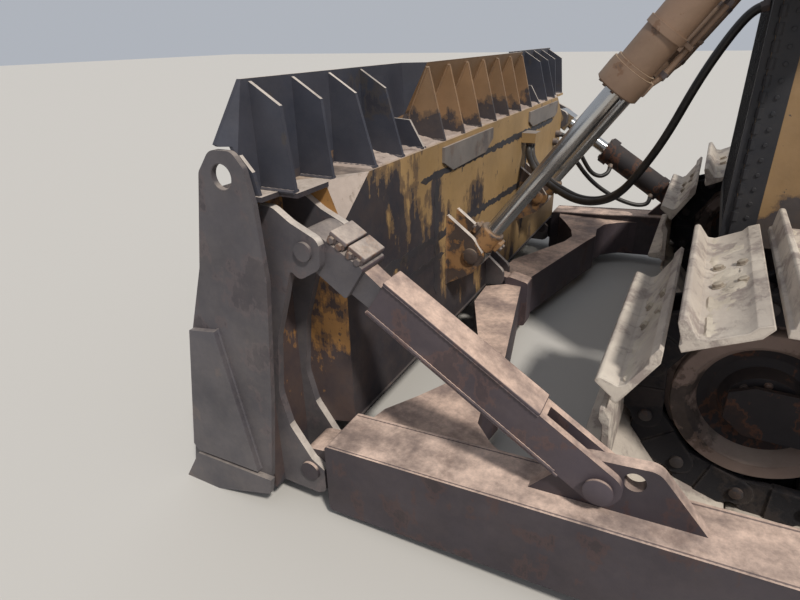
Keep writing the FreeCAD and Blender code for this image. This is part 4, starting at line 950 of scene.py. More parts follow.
@dataclass
class Studio:
    """Floor, lights and the camera at the photograph's place. Metres, degrees and millimetres of lens."""

    place: tuple[float, float, float] = (1.235, 3.100, 1.717)
    yaw: float = 28.378
    pitch: float = 25.173
    roll: float = -1.229
    lens: float = 25.2
    floor_half: float = 60.0
    sun_strength: float = 2.8
    sky_strength: float = 0.5

    def build(self) -> None:
        """Makes the camera, the floor, the sun and the sky."""
        self._camera()
        self._floor()
        self._light()

    def _camera(self) -> None:
        """The camera looks along its yaw and pitch, then rolls about that line."""
        yaw, pitch, roll = (math.radians(a) for a in (self.yaw, self.pitch, self.roll))
        ahead = np.array([math.sin(yaw) * math.cos(pitch), -math.cos(yaw) * math.cos(pitch), -math.sin(pitch)])
        level = np.cross(ahead, [0, 0, 1])
        level /= np.linalg.norm(level)
        upright = np.cross(level, ahead)
        right = math.cos(roll) * level + math.sin(roll) * upright
        up = -math.sin(roll) * level + math.cos(roll) * upright
        data = bpy.data.cameras.new("camera")
        data.lens, data.sensor_width, data.clip_end = self.lens, 36.0, 300.0
        camera = placed("camera", data)
        camera.matrix_world = Matrix(np.column_stack([right, up, -ahead, self.place]).tolist()).to_4x4()
        bpy.context.scene.camera = camera

    def _floor(self) -> None:
        """A wide plain floor."""
        half = self.floor_half
        mesh = bpy.data.meshes.new("floor")
        mesh.from_pydata([(-half, -half, 0), (half, -half, 0), (half, half, 0), (-half, half, 0)], [], [(0, 1, 2, 3)])
        floor = placed("floor", mesh)
        material, w = blank("floor_grey")
        w.shade(colour("#c4c0ba"), 0.9)
        mesh.materials.append(material)

    def _light(self) -> None:
        """A broad sun from behind the machine and a pale sky."""
        data = bpy.data.lights.new("sun", "SUN")
        data.energy, data.angle, data.color = self.sun_strength, math.radians(6), (1.0, 0.965, 0.9)
        placed("sun", data).rotation_euler = (math.radians(-22), math.radians(-34), 0.0)
        world = bpy.data.worlds.new("sky")
        bpy.context.scene.world = world
        world.use_nodes = True
        sky = world.node_tree.nodes["Background"].inputs
        sky["Color"].default_value, sky["Strength"].default_value = (0.86, 0.91, 1.0, 1.0), self.sky_strength
        bpy.context.scene.view_settings.view_transform = "Standard"


# Running gear


@dataclass
class Crawler:
    """One track with its shoes and links, its wheels and its final drive. Sizes in metres."""

    side: str
    pitch: float = 0.222
    shoe_count: int = 40
    teeth: int = 21
    shoe_width: float = 0.95
    plate: float = 0.024
    grouser: float = 0.075
    rail_out: float = 0.080
    rail_in: float = 0.058
    rail_y: float = 0.062
    rail_t: float = 0.046
    bush: float = 0.029
    roller_r: float = 0.102
    roller_count: int = 8
    carrier_r: float = 0.075

    def __post_init__(self) -> None:
        """Works out where the pin line runs, and takes the wheels' places from the CAD."""
        self.sign = SIDES[self.side]
        self.pin_r = self.teeth * self.pitch / (4 * math.pi)
        self.axle_z = self.pin_r + self.rail_out + self.plate + self.grouser
        low, high = measured(f"idler_{self.side}")
        self.idler_x = (low[0] + high[0]) / 2
        self.wheelbase = (self.shoe_count * self.pitch - 2 * math.pi * self.pin_r) / 2
        self.sprocket_x = self.idler_x - self.wheelbase
        low, high = measured(f"track_{self.side}")
        self.middle = abs(low[1] + high[1]) / 2
        self.y = self.middle * self.sign

    def put(
        self, name: str, shape: Shape, finish: Finish, slot: str = "cast_steel", bevel: float = 0.0, node: str = ""
    ) -> bpy.types.Object:
        """Makes one piece of this side.

        Args:
            name: the piece's name without its side.
            shape: its surface.
            finish: its finish.
            slot: a material slot's name, passed on to piece, which does not use it.
            bevel: width of the rounding on its sharp edges.
            node: the CAD node that it stands for, without its side.

        Returns:
            The object.
        """
        obj = on_machine(f"{name}_{self.side}", shape, finish, slot, bevel)
        if node:
            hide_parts(f"{node}_{self.side}")
        return obj

    def pins(self) -> np.ndarray:
        """Every link pin's x and z: straight runs above and below, half circles at the ends."""
        around, radius = math.pi * self.pin_r, self.pin_r
        s = np.arange(self.shoe_count) * self.pitch
        runs = [s < self.wheelbase, s < self.wheelbase + around, s < 2 * self.wheelbase + around]
        front, rear = (s - self.wheelbase) / radius, (s - 2 * self.wheelbase - around) / radius
        x = np.select(
            runs,
            [self.sprocket_x + s, self.idler_x + radius * np.sin(front), self.idler_x - (s - self.wheelbase - around)],
            self.sprocket_x - radius * np.sin(rear),
        )
        z = np.select(runs, [radius + 0 * s, radius * np.cos(front), -radius + 0 * s], -radius * np.cos(rear))
        return np.stack([x, self.axle_z + z], -1)

    def places(self) -> np.ndarray:
        """A placement for each link: local X along the chain, local Z outwards, origin between the pins."""
        here = self.pins()
        there = np.roll(here, -1, 0)
        along = (there - here) / np.linalg.norm(there - here, axis=1, keepdims=True)
        places = shifts(lifted((here + there) / 2, Axis.Y, self.y))
        places[:, 0, 0], places[:, 2, 0] = along[:, 0], along[:, 1]
        places[:, 0, 2], places[:, 2, 2] = -along[:, 1], along[:, 0]
        return places

    def shoe(self) -> Shape:
        """One shoe: a plate with a wedge bar at its front, a lip that laps the next shoe, and a mud hole."""
        half, hole = self.pitch / 2, 0.050
        base, top = self.rail_out, self.rail_out + self.plate
        tall = top + self.grouser
        rear = [(-half + 0.020, base), (-half - 0.016, top - 0.004), (-half - 0.016, top + 0.010),
                (-half + 0.022, top + 0.012), (-half + 0.045, top)]
        front = [(half - 0.078, top), (half - 0.056, top + 0.012), (half - 0.044, tall - 0.006), (half - 0.038, tall),
                 (half - 0.026, tall), (half - 0.020, tall - 0.006), (half - 0.012, top + 0.004),
                 (half - 0.002, top - 0.002), (half - 0.002, base)]
        ends = [(0.030, base), (0.030, top)] + front, rear + [(-0.050, top), (-0.050, base)]
        return joined([both(prism(rear + front, Axis.Y, hole, self.shoe_width / 2)),
                       *(prism(end, Axis.Y, -hole, hole) for end in ends)])

    def bolts(self) -> Shape:
        """Four bolts that hold a shoe to its links."""
        rail = self.rail_y + self.rail_t / 2
        spots = [(x, y, self.rail_out + self.plate) for x in (-0.062, 0.012) for y in (-rail, rail)]
        return copies(hex_bolt(0.017, 0.014, Axis.Z), shifts(spots))

    def link(self) -> Shape:
        """One pair of link plates: a bar with a round boss at each pin and a waist between, offset to overlap."""
        half, boss, offset = self.pitch / 2, self.rail_in - 0.004, 0.008
        low, top = -boss - 0.002, self.rail_out
        turn = np.linspace(-math.pi / 2, math.pi / 2, 9)
        arc = np.stack([half + boss * np.cos(turn), boss * np.sin(turn)], -1)
        nose = [*arc, (half - 0.03, top), (-0.01, top), (-0.01, low), (0.03, low)]
        tail = [*-arc, (-0.03, low), (0.0, low), (0.0, top), (-half + 0.03, top)]
        y0, y1 = self.rail_y, self.rail_y + self.rail_t - 0.004
        return both(joined([prism(nose, Axis.Y, y0, y1), prism(tail, Axis.Y, y0 + offset, y1 - offset)]))

    def bushing(self) -> Shape:
        """The bush between the rails at a link's rear pin, with the pin's ends outside."""
        end = self.rail_y + self.rail_t
        bush = lathe([(-self.rail_y, self.bush), (self.rail_y, self.bush)], Axis.Y, sides=16)
        cap = lathe([(end - 0.004, 0.024), (end + 0.006, 0.024), (end + 0.010, 0.018)], Axis.Y, sides=14)
        return joined([bush, both(cap)]).moved(-self.pitch / 2)

    def mud(self) -> Shape:
        """Dry mud on a shoe's plate: a patch with uneven height whose rim dips under the plate."""
        half, w, top = self.pitch / 2, self.shoe_width / 2, self.rail_out + self.plate
        x, y = np.meshgrid(np.linspace(-half + 0.03, half - 0.062, 11), np.linspace(-w + 0.02, w - 0.02, 76),
                           indexing="ij")
        root = np.exp(-((x - half + 0.066) / 0.018) ** 2)
        height = 0.009 * lumps(x, y, 0.17, 5) * np.exp(-(y / 0.30) ** 4)
        height += 0.010 * root * (0.6 + lumps(x, y, 0.1, 6)) - 0.004 + 0.0025 * lumps(x, y, 0.022, 7)
        rim = np.minimum(np.abs(np.abs(x + 0.016) - 0.066), np.abs(np.abs(y) - w + 0.02))
        return crust(x, y, top + np.minimum(height, rim * 0.8) + 0.002, top - 0.012)

    def chain(self) -> None:
        """Makes the shoes, links, bushings and mud of the whole loop."""
        places = self.places()
        for name, shape, finish, bevel, node in (
            ("shoes", self.shoe(), SHOE_MUD, 0.004, "track"), ("shoe_bolts", self.bolts(), SHOE_BOLT, 0.0, ""),
            ("links", self.link(), LINK_MUD, 0.003, ""), ("bushings", self.bushing(), PIN_DARK, 0.0, ""),
            ("shoe_mud", self.mud(), DRY_MUD, 0.0, ""),
        ):
            self.put(name, copies(shape, places), finish, "track_steel", bevel, node)

    def idler(self) -> None:
        """The front wheel: tread rims, a centre flange, a dished web, and a rusty hub with bolts."""
        lean = math.cos(self.pitch / self.pin_r / 2)
        tread = (self.pin_r * lean - self.rail_in) * lean
        y, wide = self.rail_y, self.rail_y + self.rail_t
        profile = two_sided([
            (y - 0.018, tread + 0.026), (y - 0.012, tread + 0.020), (y - 0.006, tread), (wide - 0.006, tread),
            (wide, tread - 0.004), (wide, tread - 0.050), (wide - 0.012, tread - 0.062), (0.052, tread - 0.085),
            (0.040, 0.165), (0.050, 0.135), (0.100, 0.118), (0.100, 0.060),
        ])
        at = (self.idler_x, self.y, self.axle_z)
        wheel = self.put("idler_wheel", lathe(profile, Axis.Y, at, 72, hollow=True), WEB_DARK, node="idler")
        repaint(wheel, RIM_DUST, lambda centre, _: np.hypot(centre[:, 0] - at[0], centre[:, 2] - at[2]) > tread - 0.075)
        self.put("idler_shaft", lathe(two_sided([(0.124, 0.062), (0.124, 0.05)]), Axis.Y, at, 32), HUB_RUST)
        bolts = bolt_ring(hex_bolt(0.011, 0.010, Axis.Y, self.sign), Axis.Y, 0.1 * self.sign, 0.092, 8)
        self.put("idler_bolts", bolts.moved(*at), BARE_STEEL)

    def rollers(self) -> None:
        """Track rollers below and carriers above, turned with flanges, in the CAD rollers' places."""
        low, high = measured(f"rollers_{self.side}")
        r, carrier, y = self.roller_r, self.carrier_r, self.rail_y
        wheel = [(y - 0.010, 0.088), (y + 0.002, r), (y + 0.040, r), (0.096, 0.094), (0.110, 0.084), (0.110, 0.060)]
        below = np.linspace(self.sprocket_x + 0.520, self.idler_x - 0.480, self.roller_count)
        above = self.sprocket_x + self.wheelbase * np.arange(1, 3) / 3
        parts = []
        for half, sides, xs, z in (
            (wheel, 32, below, low[2] + r), ([(0.124, 0.034)], 20, below, low[2] + r),
            ([(y, carrier), (0.110, 0.052), (0.110, 0.045)], 32, above, high[2] - carrier),
        ):
            parts.append(copies(lathe(two_sided(half), Axis.Y, sides=sides), shifts([(x, self.y, z) for x in xs])))
        self.put("roller_wheels", joined(parts), CAST_BROWN, node="rollers")

    def sprocket(self) -> None:
        """The toothed ring, and the final drive's drum behind it with its bolts."""
        at = (self.sprocket_x, self.y, self.axle_z)
        root, tip, inside, half = self.pin_r - self.bush - 0.003, self.pin_r + 0.016, 0.20, 0.034
        step = 2 * math.pi / self.teeth
        share = np.linspace(0, 1, 12, endpoint=False)
        turn = (math.pi / 2 + (np.arange(self.teeth)[:, None] + share[None]) * step).ravel()
        rise = np.clip((0.5 - np.abs(share - 0.5)) * 6.2 - 1.55, 0, 1)
        radius = root + (tip - root) * np.tile(rise * rise * (3 - 2 * rise), self.teeth)
        teeth, inner = (np.stack([at[0] + r * np.cos(turn), at[2] + r * np.sin(turn)], -1) for r in (radius, inside))
        ring = flat_ring(teeth, inner, Axis.Y, at[1] - half, at[1] + half)
        self.put("sprocket_ring", ring, BARE_STEEL, bevel=0.003, node="sprocket")
        low, high = measured(f"final_drive_{self.side}")
        hull = (low[1] if self.sign > 0 else high[1]) * self.sign - self.middle
        drum = [(hull, 0.19), (hull, 0.20), (hull + 0.02, 0.214), (-0.16, 0.214), (-0.11, 0.235), (-0.108, 0.262),
                (-0.045, 0.265), (-0.036, 0.258), (-0.035, 0.20), (0.035, 0.20), (0.036, 0.238), (0.064, 0.240),
                (0.070, 0.232), (0.076, 0.196), (0.112, 0.182), (0.128, 0.16), (0.132, 0.10), (0.146, 0.092),
                (0.150, 0.080), (0.150, 0.05)]
        turned = lathe([(a * self.sign, r) for a, r in drum], Axis.Y, at, 64)
        self.put("drive_drum", turned, CAST_BROWN, node="final_drive")
        bolt = hex_bolt(0.014, 0.014, Axis.Y, self.sign)
        flange = bolt_ring(bolt, Axis.Y, 0.070 * self.sign, 0.218, self.teeth)
        cover = bolt_ring(bolt, Axis.Y, 0.130 * self.sign, 0.135, 12)
        self.put("drive_bolts", joined([flange, cover]).moved(*at), BARE_STEEL)

    def build(self) -> None:
        """Makes every piece of this side's running gear."""
        self.chain()
        self.idler()
        self.rollers()
        self.sprocket()


# Blade


@dataclass
class BladeDress:
    """Seams, bolts, dirt and two-coloured plates of the blade. Sizes in metres."""

    ledge_z: float = 1.285
    guard_x: float = 2.463
    rib_foot: float = 2.283
    rib_half: float = 0.009
    wall_x: float = 2.275
    ear_y: float = 0.6
    bead: float = 0.007
    bolt: float = 0.019

    def __post_init__(self) -> None:
        """Takes the blade's half width from the CAD, and lists the ribs' places."""
        self.half = measured("blade_ends")[1][1]
        self.wing_ribs = (0.912, 1.105, 1.320, 1.530, 1.736)
        self.middle_ribs = np.arange(-3, 4) * 0.233

    def build(self) -> None:
        """Makes every piece on the blade."""
        self._coats()
        self._wall_dark_bands()
        self._rib_welds()
        self._ledge_dirt()
        self._wall_seams()
        self._edge_bolts()
        self._end_details()

    @staticmethod
    def _coats() -> None:
        """Gives faces of one node their own coats: painted apart, worn, dusty on a slope, darker on the brace's head as
        painted shade, and pale on upward edges as dust and a painted highlight.
        """
        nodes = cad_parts
        for name, low, high, finish in (
            ("guard_ribs", (0.0, 0.0, 0.0), (9.0, 0.72, 9.0), RIB_OCHRE_SHADED_FOOT),
            ("blade_guard", (0.0, 0.0, 0.0), (9.0, 0.74, 9.0), RIB_OCHRE_SHADED_FOOT),
            ("blade_brackets", (0.0, 0.45, 0.0), (9.0, 0.72, 9.0), EAR_OCHRE),
            ("blade_back", (0.0, 0.0, 1.13), (2.274, 1.4, 1.27), PATCH_GREY),
            ("blade_back", (2.2, 1.54, 0.3), (2.60, 1.90, 1.25), BAY_OCHRE),
            # painted shade: the brace's head gets the darker coat with less top dust
            ("brace", (2.10, 1.5, 0.9), (2.4, 1.9, 1.3), END_BROWN_SHADED),
        ):
            def within(centre: np.ndarray, _: np.ndarray) -> np.ndarray:
                """Which centres lie in the box or in its mirror image."""
                spot = np.stack([centre[:, 0], np.abs(centre[:, 1]), centre[:, 2]], -1)
                return np.all((spot >= low) & (spot < high), axis=1)

            repaint(nodes[name], finish, within)
        repaint(nodes["moldboard"], BACK_OCHRE, lambda _, normal: normal[:, 0] < -0.3)
        repaint(nodes["blade_back"], FACET_DUST,
                lambda centre, normal: (np.abs(centre[:, 1]) > 1.3) & (centre[:, 2] > 1.1) & (normal[:, 2] > 0.05))
        # Upward faces of the guard, ribs and brackets: pale as dust and as a painted highlight on their lit edges.
        for name, steep in (("blade_guard", 0.8), ("guard_ribs", 0.3), ("blade_brackets", 0.3)):
            repaint(nodes[name], TOP_EDGE_HIGHLIGHT, lambda _, normal: (np.abs(normal[:, 1]) < 0.5) & (normal[:, 2] > steep))

    def _wall_dark_bands(self) -> None:
        """Dark bands with ragged sides along lines on the wall: worn paint, and painted shade under the plate step."""
        lines = (((-1.30, 1.135), (0.97, 1.152), 0.017), ((-1.30, 0.800), (1.46, 0.868), 0.019),
                 ((0.70, 0.748), (1.46, 0.760), 0.014), ((0.800, 0.560), (0.800, 1.150), 0.022),
                 ((-0.640, 0.480), (-0.630, 1.135), 0.016))
        bands = []
        for number, (start, end, half) in enumerate(lines):
            run = np.subtract(end, start)
            length = float(np.linalg.norm(run))
            along = np.linspace(0, length, max(60, int(length / 0.007)))
            middle = np.array(start) + run * (along / length)[:, None]
            across = np.array([-run[1], run[0]]) / length
            taper = np.minimum(1.0, np.minimum(along, length - along) / 0.05)[:, None]
            sides = []
            for side in (-1, 1):
                ragged = lumps(along, along * 0, 0.05, 11 + number * 2 + side) * 0.45
                sides.append(middle + across * side * half * (1.0 + ragged)[:, None] * taper)
            low, high = sides
            front, back = (self.wall_x + depth - 0.0002 * number for depth in (0.001, -0.0008))
            ring = [lifted(flat, Axis.X, x) for flat, x in ((low, front), (low, back), (high, back), (high, front))]
            bands.append(grid(np.stack(ring, axis=1), round_v=True, lids=True))
        on_blade("wall_bands", joined(bands), WALL_DARK_BANDS)

    def _rib_welds(self) -> None:
        """Beads along every rib's foot and its back edge against the guard."""
        level, back, wings, middle = self.ledge_z + 0.002, self.guard_x - 0.004, [], []
        for y in self.wing_ribs:
            foot = self.rib_foot if y < 1.5 else self.wall_x + 0.055
            wings += beads([(foot, level), (back, level)], (y - self.rib_half, y + self.rib_half), self.bead)
        line = [(self.rib_foot, level), (back, level), (self.guard_x - 0.003, 1.395), (2.370, 1.596)]
        for y in self.middle_ribs:
            middle += beads(line, (y - self.rib_half, y + self.rib_half), self.bead)
        on_blade("wing_rib_welds", both(joined(wings)), GUARD_SHADED, "dark_paint")
        on_blade("middle_rib_welds", joined(middle), RIB_OCHRE_SHADED_FOOT, "dark_paint")

    def _ledge_dirt(self) -> None:
        """Dry soil on the ledge behind the guard, heaped against the guard and the ribs' feet."""
        rear, half = 2.290, 1.35
        y, x = np.meshgrid(np.linspace(-half, half, 420), np.linspace(rear, self.guard_x - 0.001, 22), indexing="ij")
        share = (x - rear) / (self.guard_x - rear)
        ribs = np.concatenate([self.middle_ribs, np.outer((-1, 1), self.wing_ribs[:3]).ravel()])
        near = np.abs(y[..., None] - ribs).min(-1)
        heap = 0.020 * np.exp(-near / 0.045) * share + 0.016 * share**3
        height = 0.0035 + heap + 0.004 * lumps(x, y, 0.12, 3) + 0.0025 * lumps(x, y, 0.03, 4)
        rim = np.minimum(share, half - np.abs(y))
        z = self.ledge_z + np.minimum(np.maximum(height, -0.002), rim * 0.4)
        on_blade("ledge_soil", crust(x, y, z, self.ledge_z - 0.006), LEDGE_SOIL, "dark_paint", smooth=60)

    def _wall_seams(self) -> None:
        """The seam along the wall's foot and those of the lift ears."""
        x = self.wall_x - 0.001
        on_blade("wall_seams", weld([(x, -1.56, 0.322), (x, 1.56, 0.322)], 0.008, (0, 0, 1)), PIN_DARK)
        seams = beads([(x, 0.572), (x, 0.928)], [self.ear_y + y for y in (-0.079, -0.049, 0.049, 0.079)], self.bead)
        on_blade("bracket_welds", both(joined(seams)), EAR_OCHRE)

    def _edge_bolts(self) -> None:
        """Nuts behind the cutting edge and round heads on its face, in a line at even steps."""
        ys = np.linspace(-1.72, 1.72, 16)
        nut = hex_bolt(self.bolt, 0.022, Axis.X, -1.0)
        head = lathe([(0.0, 0.017), (0.004, 0.016), (0.006, 0.012)], Axis.X, sides=14)
        head = head.turned(Axis.Y, math.degrees(math.atan2(0.062, 0.095 + 0.15)))
        for name, shape, x, z in (("edge_nuts", nut, 2.858, 0.190), ("edge_heads", head, 2.916, 0.212)):
            on_blade(name, copies(shape, shifts([(x, y, z) for y in ys])), BARE_STEEL, "worn_steel")

    def _end_details(self) -> None:
        """A rim bead around each lifting eye and the weld along the wear plate."""
        eye = (2.522, self.half - 0.001, 1.340)
        ring = lathe([(0, 0.041), (0, 0.046), (0.001, 0.0455), (0.0015, 0.042)], Axis.Y, eye, 40, hollow=True)
        wear = beads([(2.652, 0.786), (2.546, 0.19)], [self.half + 0.001], 0.006)[0]
        on_blade("eye_rims", both(ring), END_BROWN_SHADED, "dark_paint")
        on_blade("wear_plate_welds", both(wear), EDGE_STEEL, "worn_steel")


# Push frame


@dataclass
class Struts:
    """The brace, the tilt cylinder and the push arms' fittings. Sizes in metres."""

    foot: tuple[float, float] = (1.326, 0.500)
    head: tuple[float, float] = (2.292, 1.110)
    pivot: tuple[float, float] = (-1.7, 0.43)
    arm_y: float = 1.675
    arm_inner: float = 1.56
    arm_half: float = 0.155
    depth: float = 0.130
    width: float = 0.100
    gland: float = 0.700

    def __post_init__(self) -> None:
        """Works out the strut's length and slope."""
        dx, dz = self.head[0] - self.foot[0], self.head[1] - self.foot[1]
        self.length, self.slope = math.hypot(dx, dz), math.degrees(math.atan2(dz, dx))

    def laid(self, shape: Shape) -> Shape:
        """A surface drawn along +X from the foot's pin, put on the left strut's line."""
        return shape.turned(Axis.Y, -self.slope).moved(self.foot[0], self.arm_y, self.foot[1])

    def build(self) -> None:
        """Makes the fittings of both struts and both arms."""
        self._brace()
        self._tilt_cylinder()
        self._arms()

    def _brace(self) -> None:
        """Welded flanges on the beam, clamp bolts and the shims between the clamp's halves."""
        top, side, far, end = self.depth / 2, self.width / 2, self.length - 0.265, self.length
        flanges = [block((0.27, -side - 0.006, top - 0.002), (far + 0.004, side + 0.006, top + 0.010)),
                   block((0.10, -side - 0.004, -top - 0.008), (far + 0.004, side + 0.004, -top + 0.002))]
        seams = [bead for line in ([(0.27, top - 0.004), (far, top - 0.004)], [(0.12, -top + 0.004), (far, -top + 0.004)])
                 for bead in beads(line, (-side, side), 0.006)]
        spots = [(end - start, 0.060, top + 0.012) for start in (0.160, 0.126, 0.084, 0.050)]
        caps = [block((end - start - 0.002, -0.063, top + 0.020), (end - start + 0.068, 0.063, top + 0.0365))
                for start in (0.176, 0.100)]
        for name, shape, finish, bevel in (
            ("brace_flanges", joined(flanges), ARM_BROWN_SUNLIT, 0.004), ("brace_welds", joined(seams), ARM_BROWN_SUNLIT, 0.0),
            ("clamp_bolts", copies(hex_bolt(0.013, 0.014, Axis.Y), shifts(spots)), BARE_STEEL, 0.0),
            ("clamp_caps", joined(caps), CLAMP_GREY, 0.004),
        ):
            on_blade(name, self.laid(shape), finish, bevel=bevel)

    def _tilt_cylinder(self) -> None:
        """The right strut's gland with its bolts, and a barrel ring."""
        g = self.gland
        ring = lathe([(g - 0.060, 0.089), (g - 0.060, 0.104), (g, 0.104), (g + 0.008, 0.096), (g + 0.008, 0.050),
                      (g, 0.0455), (g - 0.040, 0.0455), (g - 0.040, 0.089)], Axis.X, hollow=True)
        tail = lathe([(0.168, 0.080), (0.168, 0.094), (0.215, 0.094), (0.222, 0.087)], Axis.X)
        bolts = bolt_ring(hex_bolt(0.012, 0.010, Axis.X), Axis.X, g + 0.008, 0.078, 8)
        # The gland's dark coat is painted shade.
        on_blade("tilt_gland", self.laid(joined([ring, tail])).mirrored(), WEB_DARK)
        on_blade("tilt_gland_bolts", self.laid(bolts).mirrored(), BARE_STEEL)

    def _arms(self) -> None:
        """Plates on the struts' foot pins, caps on the arms' rear ends and beads along the arms' edges."""
        plate = lathe([(0.0, 0.044), (0.008, 0.044), (0.010, 0.041)], Axis.Y, sides=32)
        (x, z), (pivot_x, pivot_z), outer = self.foot, self.pivot, measured("push_arm_left")[1][1]
        dish = lathe([(-0.001, 0.150), (0.014, 0.150), (0.018, 0.144), (0.018, 0.096), (0.034, 0.090),
                      (0.038, 0.076)], Axis.Y)
        bolts = bolt_ring(hex_bolt(0.014, 0.013, Axis.Y), Axis.Y, 0.016, 0.122, 10)
        nose, tail = 0.195 + self.arm_half, pivot_z - 0.235 * 0.26 / 3.975 + self.arm_half
        seams = beads([(-1.42, tail - 0.001), (2.262, nose - 0.001)], (self.arm_inner + 0.012, outer - 0.012), 0.006)
        seams += beads([(x - 0.31, 0.42 - 0.005 - 0.003), (x + 0.22, 0.40 - 0.012 - 0.003)],
                       (self.arm_y - 0.026, self.arm_y + 0.026), 0.008)
        for name, shape, finish in (
            ("pin_caps", plate.moved(x, self.arm_y + 0.062, z), ARM_BROWN_SUNLIT),
            ("trunnion_caps", dish.moved(pivot_x, outer, pivot_z), ARM_BROWN_SUNLIT),
            ("trunnion_bolts", bolts.moved(pivot_x, outer, pivot_z), BARE_STEEL),
            ("arm_welds", joined(seams), PUSH_BROWN_SHADE_AND_SUN),
        ):
            on_blade(name, both(shape), finish)


# Lift cylinders and hoses


@dataclass
class LiftCylinder:
    """Gland, rings, pipes and rod end of one lift cylinder. Sizes in metres."""

    side: str
    pin: tuple[float, float] = (2.148, 0.740)
    yoke: tuple[float, float] = (1.180, 2.072)
    y: float = 0.600
    ear: float = 0.078
    bore_r: float = 0.076
    rod_r: float = 0.040
    gland: float = 0.683
    tail: float = 0.600

    def __post_init__(self) -> None:
        """Works out the cylinder's length and slope."""
        dx, dz = self.pin[0] - self.yoke[0], self.pin[1] - self.yoke[1]
        self.reach, self.slope = math.hypot(dx, dz), math.degrees(math.atan2(-dz, dx))

    def laid(self, shape: Shape) -> Shape:
        """A surface drawn along +X from the trunnion, put on the cylinder's line."""
        shape = shape.turned(Axis.Y, self.slope).moved(self.yoke[0], self.y, self.yoke[1])
        return shape if self.side == "left" else shape.mirrored()

    def put(self, name: str, shape: Shape, finish: Finish = BARREL_OCHRE, bevel: float = 0.0, part: str = "barrel") -> None:
        """Makes one piece that rides on the barrel or on the rod.

        Args:
            name: the piece's name without its side.
            shape: its surface, drawn along +X from the trunnion.
            finish: its finish.
            bevel: width of the rounding on its sharp edges.
            part: barrel or rod.
        """
        slot = "ochre_paint" if part == "barrel" else "rod_chrome"
        piece(f"{name}_{self.side}", self.laid(shape), finish, slot, bevel, body=f"lift_{part}_{self.side}")

    def build(self) -> None:
        """Makes every piece of this cylinder."""
        r, rod, g = self.bore_r, self.rod_r, self.gland
        ring = [(g - 0.085, r + 0.002), (g - 0.085, r + 0.016), (g - 0.060, r + 0.018), (g + 0.006, r + 0.018),
                (g + 0.012, r + 0.010), (g + 0.012, 0.050), (g + 0.006, rod + 0.001), (g - 0.02, rod + 0.001),
                (g - 0.02, r)]
        self.put("gland", lathe(ring, Axis.X, sides=56, hollow=True))
        seal = [(g + 0.010, rod + 0.0008), (g + 0.010, 0.052), (g + 0.016, 0.050), (g + 0.018, rod + 0.0008)]
        self.put("rod_seal", lathe(seal, Axis.X, hollow=True), SEAL_RUBBER)
        spans = ((-self.tail, -self.tail + 0.035), (0.16, 0.19), (0.42, 0.45))
        self.put("barrel_rims", joined([band(a, b, r - 0.004, r + 0.007, Axis.X) for a, b in spans]))
        self.put("gland_bolts", bolt_ring(hex_bolt(0.009, 0.009, Axis.X), Axis.X, g + 0.011, 0.072, 10), BARE_STEEL)
        self._pipes()
        self._rod_end()

    def _pipes(self) -> None:
        """Two steel pipes under the barrel with their clamps, and the port block at the gland."""
        routes = ([(0.05, -0.088, -0.080), (0.20, -0.060, -0.098), (0.45, -0.052, -0.100), (0.56, -0.048, -0.100),
                   (0.622, -0.046, -0.084)],
                  [(0.05, -0.112, -0.050), (0.20, -0.098, -0.050), (0.40, -0.096, -0.050), (0.50, -0.092, -0.050)])
        self.put("lift_pipes", joined([tube(smooth_path(route, 6), 0.0125, 14) for route in routes]))
        blocks = [block((0.600, -0.072, -0.100), (0.660, -0.020, -0.070)),
                  block((0.496, -0.105, -0.066), (0.530, -0.070, -0.030))]
        blocks += [block((x, -0.116, -0.116), (x + 0.02, -0.030, -0.070)) for x in (0.165, 0.425)]
        self.put("pipe_blocks", joined(blocks), bevel=0.004)
        nut = lathe([(0.0, 0.017), (0.022, 0.017)], Axis.X, sides=6)
        spots = [(0.545, -0.048, -0.100), (0.245, -0.0585, -0.0985), (0.245, -0.0975, -0.050), (0.47, -0.093, -0.050)]
        self.put("pipe_nuts", copies(nut, shifts(spots)), BARE_STEEL)

    def _rod_end(self) -> None:
        """The rod's eye: its rounded cheeks, the clamp with four bolts, and the caps on the blade's ears."""
        far = self.reach
        eye = [lathe([(far - 0.150, 0.041), (far - 0.150, 0.058), (far - 0.140, 0.062), (far - 0.050, 0.062),
                      (far - 0.050, 0.041)], Axis.X, sides=40)]
        eye += [block((far - 0.132, -0.036, z), (far - 0.082, 0.036, z + 0.022)) for z in (-0.078, 0.056)]
        self.put("rod_end", joined(eye), EAR_OCHRE, 0.004, part="rod")
        bolts = [copies(hex_bolt(0.011, 0.012, Axis.Z, sign), shifts([(far - 0.107, y, sign * 0.078) for y in (-0.02, 0.02)]))
                 for sign in (-1.0, 1.0)]
        self.put("rod_end_bolts", joined(bolts), BARE_STEEL, part="rod")
        cap = lathe([(0.0, 0.040), (0.010, 0.040), (0.014, 0.034), (0.014, 0.012)], Axis.Y, sides=32)
        caps = both(cap.moved(y=self.ear)).moved(self.pin[0], self.y, self.pin[1])
        on_blade(f"ear_caps_{self.side}", caps if self.side == "left" else caps.mirrored(), EAR_OCHRE)


